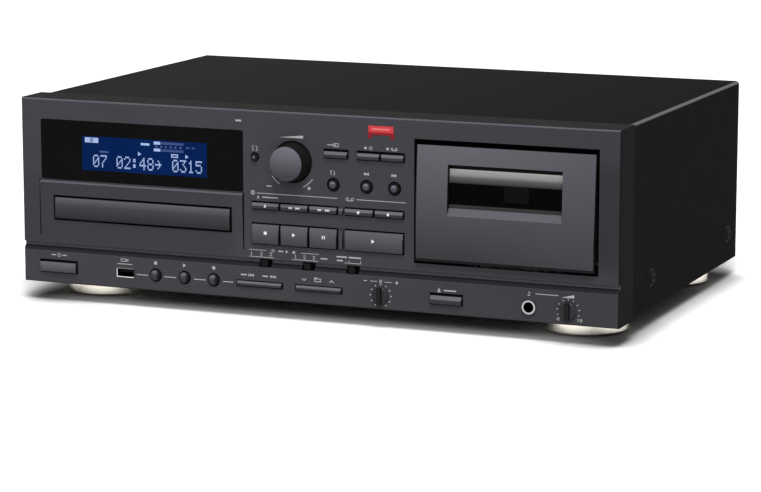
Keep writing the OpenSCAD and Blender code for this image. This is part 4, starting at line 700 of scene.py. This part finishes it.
def split(shapes, z):
    """Cuts plain convex outlines along a level line, so that each part can lie on its own face."""
    out = []
    for loops in shapes:
        for part_side in (1, -1):
            part = []
            points = loops[0]
            for (ax, az), (bx, bz) in zip(points, points[1:] + points[:1]):
                if part_side * (az - z) >= 0:
                    part.append((ax, az))
                if (az - z) * (bz - z) < 0:
                    t = (z - az) / (bz - az)
                    part.append((ax + t * (bx - ax), z))
            if len(part) > 2:
                out.append([part])
    return out


trees = {}


def surface(node):
    """The carrying node's faces, for finding where a print lies."""
    if node not in trees:
        mesh = nodes[node].data
        points = [nodes[node].matrix_world @ v.co for v in mesh.vertices]
        trees[node] = BVHTree.FromPolygons(points, [list(p.vertices) for p in mesh.polygons])
    return trees[node]


def area(loop):
    return sum(a[0] * b[1] - b[0] * a[1] for a, b in zip(loop, loop[1:] + loop[:1])) / 2


def printed(name, node, shapes, mat, proud=PRINT_PROUD):
    """Thin closed plates of these shapes on the front of a node, riding on its body."""
    tree = surface(node)
    points, faces = [], []
    for loops in shapes:
        turned = []
        for place, loop in enumerate(loops):
            turned.append(loop if (area(loop) > 0) == (place == 0) else loop[::-1])
        flat = [p for loop in turned for p in loop]
        start, count = len(points), len(flat)
        for x, z in flat:
            origin = Vector((side(x), FACE - PRINT_REACH, height(z)))
            hit = tree.ray_cast(origin, Vector((0, 1, 0)))[0]
            if hit is None:
                raise RuntimeError("%s: nothing carries it at %.1f, %.1f" % (name, x, z))
            points.append(hit - Vector((0, proud * MM, 0)))
        for place in range(start, start + count):
            points.append(points[place] + Vector((0, (proud + PRINT_SINK) * MM, 0)))
        for tri in tessellate_polygon([[Vector((x, z, 0)) for x, z in loop] for loop in turned]):
            a, b, c = (flat[i] for i in tri)
            if (b[0] - a[0]) * (c[1] - a[1]) - (c[0] - a[0]) * (b[1] - a[1]) < 0:
                tri = tri[::-1]
            faces.append([start + i for i in tri])
            faces.append([start + count + i for i in reversed(tri)])
        at = start
        for loop in turned:
            n = len(loop)
            for i in range(n):
                a, b = at + i, at + (i + 1) % n
                faces.append([a, a + count, b + count, b])
            at += n
    mesh = bpy.data.meshes.new(name)
    mesh.from_pydata([tuple(p) for p in points], [], faces)
    mesh.update()
    mesh.materials.append(mat)
    obj = add_object(name, mesh)
    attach(obj, body_of[node])


def dial_angles(count, span):
    """Even steps over a span in degrees that has its middle at the top."""
    return [math.radians(-span / 2 + span * i / (count - 1)) for i in range(count)]


def dial_dots(x, z, r, count, span, size):
    shapes = []
    for a in dial_angles(count, span):
        shapes += disc(x + r * math.sin(a), z + r * math.cos(a), size)
    return shapes


def dial_ticks(x, z, r0, r1, count, span, thick):
    shapes = []
    for a in dial_angles(count, span):
        s, c = math.sin(a), math.cos(a)
        shapes += line(x + r0 * s, z + r0 * c, x + r1 * s, z + r1 * c, thick)
    return shapes


# Marks along the lower strip

POWER_Z = 19.9  # heights of the rows that marks stand in
FILE_DASH_Z = 10.6
LOW_SIGN_Z = 16.5
PITCH_Z = 19.0
MIC_Z = 17.8
SMALL_DOT = 0.32  # size of the dots in small figures


def small_figure(text, x, z):
    return dotted(text, x, z, SMALL_DOT, 0.3, 2, 1.0)


def power_marks():
    """A power sign between two dashes."""
    return power_sign(27.7, POWER_Z, 1.35) + bar(21.7, 25.2, POWER_Z, 0.7) + bar(30.2, 33.7, POWER_Z, 0.7)


def file_marks():
    """A plug and a line over the port, signs over the round keys, and dashes between them."""
    marks = box_outline(75.8, 18.9, 80.0, 20.9) + box_outline(80.0, 19.3, 81.8, 20.5)
    marks += bar(73.2, 84.6, 17.2, 0.5)
    for x0, x1 in ((87.9, 96.6), (109.0, 118.0), (131.7, 140.7), (153.6, 161.2)):
        marks += bar(x0, x1, FILE_DASH_Z, 0.55)
    return marks + square(102.6, 19.6, 2.1) + arrow(124.6, 19.5, 2.4, 0) + disc(146.7, 19.4, 1.25)


def rocker_marks():
    """Skip signs over one rocker; over the other, a folder between two chevrons."""
    marks = bar(167.0, 171.4, LOW_SIGN_Z, 0.9) + double(175.0, LOW_SIGN_Z, 1.9, 180, True)
    marks += bar(183.2, 187.2, LOW_SIGN_Z, 0.9) + double(190.8, LOW_SIGN_Z, 1.9, 0, True)
    marks += chevron(213.8, 16.4, 1.5, False) + chevron(234.0, 16.4, 1.5, True)
    return marks + box_outline(221.3, 15.4, 226.3, 17.7, 0.5) + rect(221.3, 17.7, 223.5, 18.3)


def pitch_marks():
    """A scale from minus to plus over a ring of dots."""
    x, z = centre("pitch_knob")
    marks = bar(257.2, 259.6, PITCH_Z, 0.6) + bar(262.0, 266.8, PITCH_Z, 0.4)
    marks += dotted("0", 268.6, 17.9, 0.34, 0.34, 2, 1.0)
    marks += bar(272.2, 277.4, PITCH_Z, 0.4) + plus(281.0, PITCH_Z, 2.4, 0.6)
    return marks + dial_dots(x, z, 7.4, 11, 300, 0.5)


def eject_marks():
    return eject_sign(311.0, LOW_SIGN_Z, 2.1) + bar(314.4, 323.0, LOW_SIGN_Z, 0.8)


def mic_marks():
    """A microphone on its stand over the jack, then a growing wedge over ticks from 0 to 10."""
    x, z = centre("mic_level_knob")
    marks = arc(373.6, 19.3, 1.0, 1.0, 0, 360, 20) + line(373.6, 17.9, 373.6, 18.6, 0.4)
    marks += bar(372.6, 374.6, MIC_Z, 0.4)
    marks += bar(378.4, 393.9, 19.1, 0.45) + wedge(396.0, 404.8, 18.0, 20.2)
    marks += dial_ticks(x, z, 6.9, 8.3, 9, 220, 0.4)
    return marks + small_figure("0", x - 7.6, z - 6.6) + small_figure("10", x + 6.0, z - 6.6)


strip = power_marks() + file_marks() + rocker_marks() + pitch_marks() + eject_marks() + mic_marks()
printed("marks_strip", "front_panel", strip, print_mat)

# Marks over the slide switches

CLOCK_Z = 34.3
SCALE_Z = 29.5
SCALES = ((173.6, (1.5, 8.8, 15.8)), (205.8, (1.9, 8.4, 15.2)))  # left end and the places of 1, 2 and 3


def clock_sign(x, z):
    return ring(x, z, 1.1, 0.35) + line(x, z, x, z + 0.8, 0.3) + line(x, z, x + 0.6, z, 0.3)


def timer_marks():
    """A clock, a dash, play and stop signs between two lines."""
    marks = bar(173.3, 186.0, 34.2, 0.35) + clock_sign(191.0, CLOCK_Z) + bar(195.0, 198.6, CLOCK_Z, 0.8)
    marks += arrow(201.4, CLOCK_Z, 1.9, 0) + square(206.4, CLOCK_Z, 1.7) + bar(211.5, 224.6, 34.2, 0.35)
    return marks


def scale_marks():
    """Two scales of three places."""
    marks = []
    for x0, places in SCALES:
        for figure, x in zip("123", places):
            marks += dotted(figure, x0 + x - 0.9, 30.6, 0.36, SMALL_DOT, 2, 1.0)
            marks += line(x0 + x, SCALE_Z, x0 + x, SCALE_Z + 0.7, 0.35)
        marks += bar(x0 - 0.4, x0 + 18.2, SCALE_Z, 0.35)
    return marks + bar(226.0, 231.0, 31.5, 0.8)


def speed_marks():
    """Dashes over a scale of two places."""
    marks = bar(237.6, 245.0, 33.7, 0.9) + bar(246.4, 255.4, 33.7, 0.9) + bar(237.8, 242.2, 31.2, 0.9)
    marks += bar(243.4, 255.0, 29.9, 0.35)
    return marks + line(255.0, 29.7, 255.0, 32.0, 0.35) + line(246.8, 29.9, 246.8, 31.6, 0.35)


scales = timer_marks() + scale_marks() + speed_marks()
printed("marks_scales", "front_panel", scales, print_mat)

# Marks in the middle of the panel

KNOB_ARC = 18.4  # radius of the arcs round the level knob
GROUP_Z = 73.0
OPEN_Z = 70.4
INPUT_Z = 108.6


def level_marks():
    """A growing wedge over the level knob, and arcs that run out to minus and plus."""
    x, z = centre("level_knob")
    marks = wedge(196.0, 213.6, 111.7, 113.6) + loop_sign(178.2, 103.2, 1.9)
    for start, end in ((212, 236), (127, 155)):
        marks += arc(x, z, KNOB_ARC, 0.45, start, end)
    return marks + bar(186.6, 190.4, 78.2, 0.7) + plus(217.8, 78.4, 2.8, 0.7)


def group_marks():
    """A disc and a pair of reels, each at the head of a line over its keys."""
    marks = ring(176.4, 73.2, 1.5, 0.55) + disc(176.4, 73.2, 0.4) + bar(179.4, 238.2, GROUP_Z, 0.4)
    marks += eject_sign(180.4, OPEN_Z, 1.5) + bar(183.4, 195.0, OPEN_Z, 0.7)
    return marks + reels_sign(247.3, 72.9, 1.1) + bar(252.2, 287.3, GROUP_Z, 0.4)


def upper_key_marks():
    """Input and record signs over the flat keys, then loop and winding signs over the round ones."""
    marks = box_outline(235.4, 107.4, 239.4, 109.8) + bar(231.2, 235.4, INPUT_Z, 0.5)
    marks += arrow(237.0, INPUT_Z, 1.3, 0)
    marks += disc(258.6, 107.9, 0.9) + ring(262.4, 107.9, 1.2, 0.4)
    marks += disc(274.3, 108.1, 0.9) + reels_sign(279.0, 108.1, 0.9)
    marks += loop_sign(234.9, 90.0, 1.6)
    return marks + double(259.0, 90.5, 2.1, 180) + double(279.1, 90.6, 2.1, 0)


corner_mark = bar(163.9, 168.2, 121.3, 1.2)
middle = level_marks() + group_marks() + upper_key_marks() + corner_mark
printed("marks_middle", "front_panel", middle, print_mat)

# Badge

BADGE = (260.9, 118.6, 278.6, 123.0)  # x0, z0, x1, z1
BADGE_PROUD = 0.3
BRACKET_LOW, BRACKET_STEP = 114.6, 116.9  # where the bracket's legs end, and where its bar starts
LEG = 2.6  # width of a leg
badge_middle = (BADGE[1] + BADGE[3]) / 2
stripe = bar(BADGE[0] + 2.5, BADGE[2] - 2.5, badge_middle, 1.3)
bracket = rect(BADGE[0] - 0.5, BRACKET_STEP, BADGE[2] + 0.5, BADGE[1] - 0.1)
for x in (BADGE[0] - 0.5, BADGE[2] + 0.5 - LEG):
    bracket += rect(x, BRACKET_LOW, x + LEG, BRACKET_STEP - 0.1)
printed("badge_bar", "front_panel", rect(*BADGE), red_mat, BADGE_PROUD)
printed("badge_stripe", "front_panel", stripe, pale_red_mat, BADGE_PROUD + 0.04)
printed("badge_bracket", "front_panel", bracket, dark_red_mat, BADGE_PROUD)

# Signs on the keys
key_signs = {
    "stop_button": square(186.2, 46.3, 2.1),
    "play_button": arrow(207.1, 46.3, 2.4, 0),
    "pause_button": rect(227.7, 45.2, 228.4, 47.3) + rect(229.2, 45.2, 229.9, 47.3),
    "tape_play_button": arrow(264.6, 45.9, 2.4, 0),
    "open_close_button": eject_sign(186.2, 64.8, 1.5),
    "search_back_button": double(204.6, 64.6, 1.4, 180) + double(210.2, 64.6, 1.4, 180, True),
    "search_forward_button": double(226.2, 64.6, 1.4, 0) + double(231.6, 64.6, 1.4, 0, True),
    "tape_stop_button": square(254.1, 64.6, 1.6),
    "tape_record_button": disc(275.4, 64.6, 0.9),
}
LEAN_SHARE = 0.55  # share of a low key's height below the line where it leans back
TALL_KEY = 6.5  # keys at least this high have an upright front
for name, shapes in key_signs.items():
    levels = [v.co.z for v in nodes[name].data.vertices if v.co.y < FACE - 0.5 * MM]
    tall = (max(levels) - min(levels)) / MM
    if tall < TALL_KEY:
        shapes = split(shapes, (min(levels) - BASE) / MM + tall * LEAN_SHARE)
    printed("sign_" + name.removesuffix("_button"), name, shapes, sign_mat)

# Display

LCD = (47.1, 80.9, 142.2, 104.5)  # x0, z0, x1, z1 of the lit field
LCD_PROUD, FIGURE_PROUD = 0.03, 0.06  # how far the field and the figures stand off the window, in mm
DOT_W, DOT_H, PITCH = 0.98, 1.24, 5.9  # a dot's cell, and the step from figure to figure
FIGURES_Z = 83.4
SIGNS_Z = 94.3
METER_Z = (102.6, 97.7)  # the two rows of the level meter
METER_X, METER_STEP, METER_COUNT = 107.7, 1.58, 11
DISC_SIGN = (54.6, 101.85)


def display_figures():
    """Track, time and counter figures with the bright signs over them."""
    marks = []
    for text, x in (("07", 55.5), ("02:48>", 73.6), ("0315", 116.1)):
        marks += dotted(text, x, FIGURES_Z, DOT_W, DOT_H, PITCH)
    marks += arrow(91.4, SIGNS_Z, 2.6, 0) + arrow(127.3, SIGNS_Z, 2.6, 0)
    marks += [rect(49.4, 100.1, 59.8, 103.6)[0] + [circle(*DISC_SIGN, 1.35)]] + ring(*DISC_SIGN, 0.9, 0.5)
    marks += box_outline(115.4, 93.2, 120.6, 95.6, 0.7) + bar(92.4, 99.0, 101.2, 1.5)
    return marks + bar(102.3, 107.2, 102.5, 2.0) + bar(102.3, 107.2, 97.8, 1.9)


def faint_figures():
    """The dim rest of the level meter, its scale and a dim bar over the track figures."""
    marks = bar(60.6, 67.6, 94.2, 1.2)
    for z in METER_Z:
        for i in range(METER_COUNT):
            x = METER_X + i * METER_STEP
            marks += rect(x, z - 0.8, x + 1.2, z + 0.8)
    for x in (103.6, 107.2, 110.6, 114.4, 118.0, 121.8):
        marks += rect(x, 99.4, x + 1.5, 100.8)
    return marks + bar(126.8, 129.4, 100.4, 0.9) + bar(131.0, 133.2, 100.4, 0.9)


printed("lcd_field", "display_window", rect(*LCD), lcd_mat, LCD_PROUD)
printed("lcd_figures", "display_window", display_figures(), glyph_mat, FIGURE_PROUD)
printed("lcd_faint", "display_window", faint_figures(), dim_glyph_mat, FIGURE_PROUD)

# Stage

FLOOR_TONE = 0.80  # what the floor throws back on the object
FLOOR_SEEN = 1.15  # how light it is seen, white where it is fully lit
FLOOR_HALF = 9.0  # metres from its middle to each edge
CONTACT = 32 * MM  # how near the object a painted contact shadow darkens the floor around it, most of all at its two ends
CONTACT_OPEN = (0.42, 0.90)  # how open a place is where that painted shadow is full, and where it ends
CONTACT_ENDS = (150 * MM, 220 * MM)  # from the middle outwards, where the painted shadow grows
CONTACT_TONES = (0.95, 0.10)  # how light the floor under the painted contact shadow is seen in the middle and at the ends
SKY_LIGHT = 0.75  # strength at its brightest place, from which it fades to all sides
SKY_AIM = (0.30, -0.45, 0.84)  # that place: high up, in front and a little to the right
SKY_NEAR = (0.25, 0.95)  # nearness to that place at which the light is least, and full
SKY_LEAST = 0.06  # share of the light that is left far from it
SUN_STRENGTH = 2.3
SUN_TURN = (28, 0, 24)  # degrees: tipped towards the front, then turned a little to the right
SUN_SPREAD = 22  # degrees
FILL_PLACE = Vector((0.5, -1.9, 1.1))
FILL_AIM = Vector((0.0, -0.13, 0.06))
FILL_SIZE = (1.3, 0.7)
FILL_WATTS = 15
CAMERA_LENS, CAMERA_SENSOR = 139.13, 36.0  # in mm
CAMERA_PLACE = (0.7905, -1.9045, 0.401)
CAMERA_DOWN, CAMERA_TURN = 10.22, 22.71  # degrees that it looks down, and to the left


def background_rays(tree):
    """1 for the rays that show the background: straight from the camera, by gloss, or through glass."""
    paths = tree.nodes.new("ShaderNodeLightPath")
    seen = paths.outputs["Is Camera Ray"]
    for name in ("Is Glossy Ray", "Is Transmission Ray"):
        most = tree.nodes.new("ShaderNodeMath")
        most.operation = "MAXIMUM"
        tree.links.new(seen, most.inputs[0])
        tree.links.new(paths.outputs[name], most.inputs[1])
        seen = most.outputs[0]
    return seen


def floor_mat():
    """Pale matt floor that is seen white outside the object's shadow, with a painted contact shadow near the
    object.
    """
    finish = Finish("floor_white", grey(FLOOR_TONE), 0.9, grain=2.0, bump=0.01, vary=0.01, spec=0.0)
    finish.done()
    matt = finish.add("ShaderNodeBsdfDiffuse")
    # Painted contact shadow, from ambient occlusion near the object.
    near = finish.add("ShaderNodeAmbientOcclusion")
    near.inputs["Distance"].default_value = CONTACT
    ends = finish.fade(finish.math("ABSOLUTE", finish.place("X")), *CONTACT_ENDS)
    dark = finish.mix(ends, *(grey(tone) for tone in CONTACT_TONES))
    seen = finish.mix(finish.fade(near.outputs["AO"], *CONTACT_OPEN), dark, grey(FLOOR_SEEN))
    finish.link(finish.mix(background_rays(finish.tree), finish.colour, seen), matt.inputs["Color"])
    finish.link(matt.outputs[0], finish.tree.nodes["Material Output"].inputs["Surface"])
    return finish.mat


def make_floor():
    signs = ((-1, -1), (1, -1), (1, 1), (-1, 1))
    corners = [(x * FLOOR_HALF, y * FLOOR_HALF, cad_box[0][2]) for x, y in signs]
    mesh = bpy.data.meshes.new("floor")
    mesh.from_pydata(corners, [], [(0, 1, 2, 3)])
    mesh.materials.append(floor_mat())
    add_object("floor", mesh)


def make_world():
    """Soft light from above the front; the background itself is seen white."""
    world = bpy.data.worlds.new("studio")
    bpy.context.scene.world = world
    world.use_nodes = True
    tree = world.node_tree
    tree.nodes.clear()
    sky = tree.nodes.new("ShaderNodeTexCoord")
    nearness = tree.nodes.new("ShaderNodeVectorMath")
    nearness.operation = "DOT_PRODUCT"
    nearness.inputs[1].default_value = SKY_AIM
    strength = tree.nodes.new("ShaderNodeMapRange")
    limits = {"From Min": SKY_NEAR[0], "From Max": SKY_NEAR[1],
              "To Min": SKY_LEAST * SKY_LIGHT, "To Max": SKY_LIGHT}
    for socket, value in limits.items():
        strength.inputs[socket].default_value = value
    soft = tree.nodes.new("ShaderNodeBackground")
    white = tree.nodes.new("ShaderNodeBackground")
    for background in (soft, white):
        background.inputs["Color"].default_value = grey(1.0)
    blend = tree.nodes.new("ShaderNodeMixShader")
    out = tree.nodes.new("ShaderNodeOutputWorld")
    tree.links.new(sky.outputs["Generated"], nearness.inputs[0])
    tree.links.new(nearness.outputs["Value"], strength.inputs["Value"])
    tree.links.new(strength.outputs["Result"], soft.inputs["Strength"])
    tree.links.new(background_rays(tree), blend.inputs[0])
    tree.links.new(soft.outputs[0], blend.inputs[1])
    tree.links.new(white.outputs[0], blend.inputs[2])
    tree.links.new(blend.outputs[0], out.inputs[0])


def make_sun():
    data = bpy.data.lights.new("overhead", "SUN")
    data.energy = SUN_STRENGTH
    data.angle = math.radians(SUN_SPREAD)
    sun = add_object("overhead", data)
    sun.rotation_euler = [math.radians(angle) for angle in SUN_TURN]


def make_softbox():
    data = bpy.data.lights.new("front_softbox", "AREA")
    data.shape = "RECTANGLE"
    data.size, data.size_y = FILL_SIZE
    data.energy = FILL_WATTS
    fill = add_object("front_softbox", data)
    fill.location = FILL_PLACE
    fill.rotation_euler = (FILL_AIM - FILL_PLACE).to_track_quat("-Z", "Y").to_euler()
    fill.visible_camera = False


def make_camera():
    data = bpy.data.cameras.new("camera")
    data.sensor_fit = "HORIZONTAL"
    data.sensor_width = CAMERA_SENSOR
    data.lens = CAMERA_LENS
    data.clip_end = 100
    camera = add_object("camera", data)
    camera.location = CAMERA_PLACE
    camera.rotation_euler = (math.radians(90 - CAMERA_DOWN), 0.0, math.radians(CAMERA_TURN))
    bpy.context.scene.camera = camera


make_floor()
make_world()
make_sun()
make_softbox()
make_camera()
bpy.context.scene.view_settings.view_transform = "Standard"
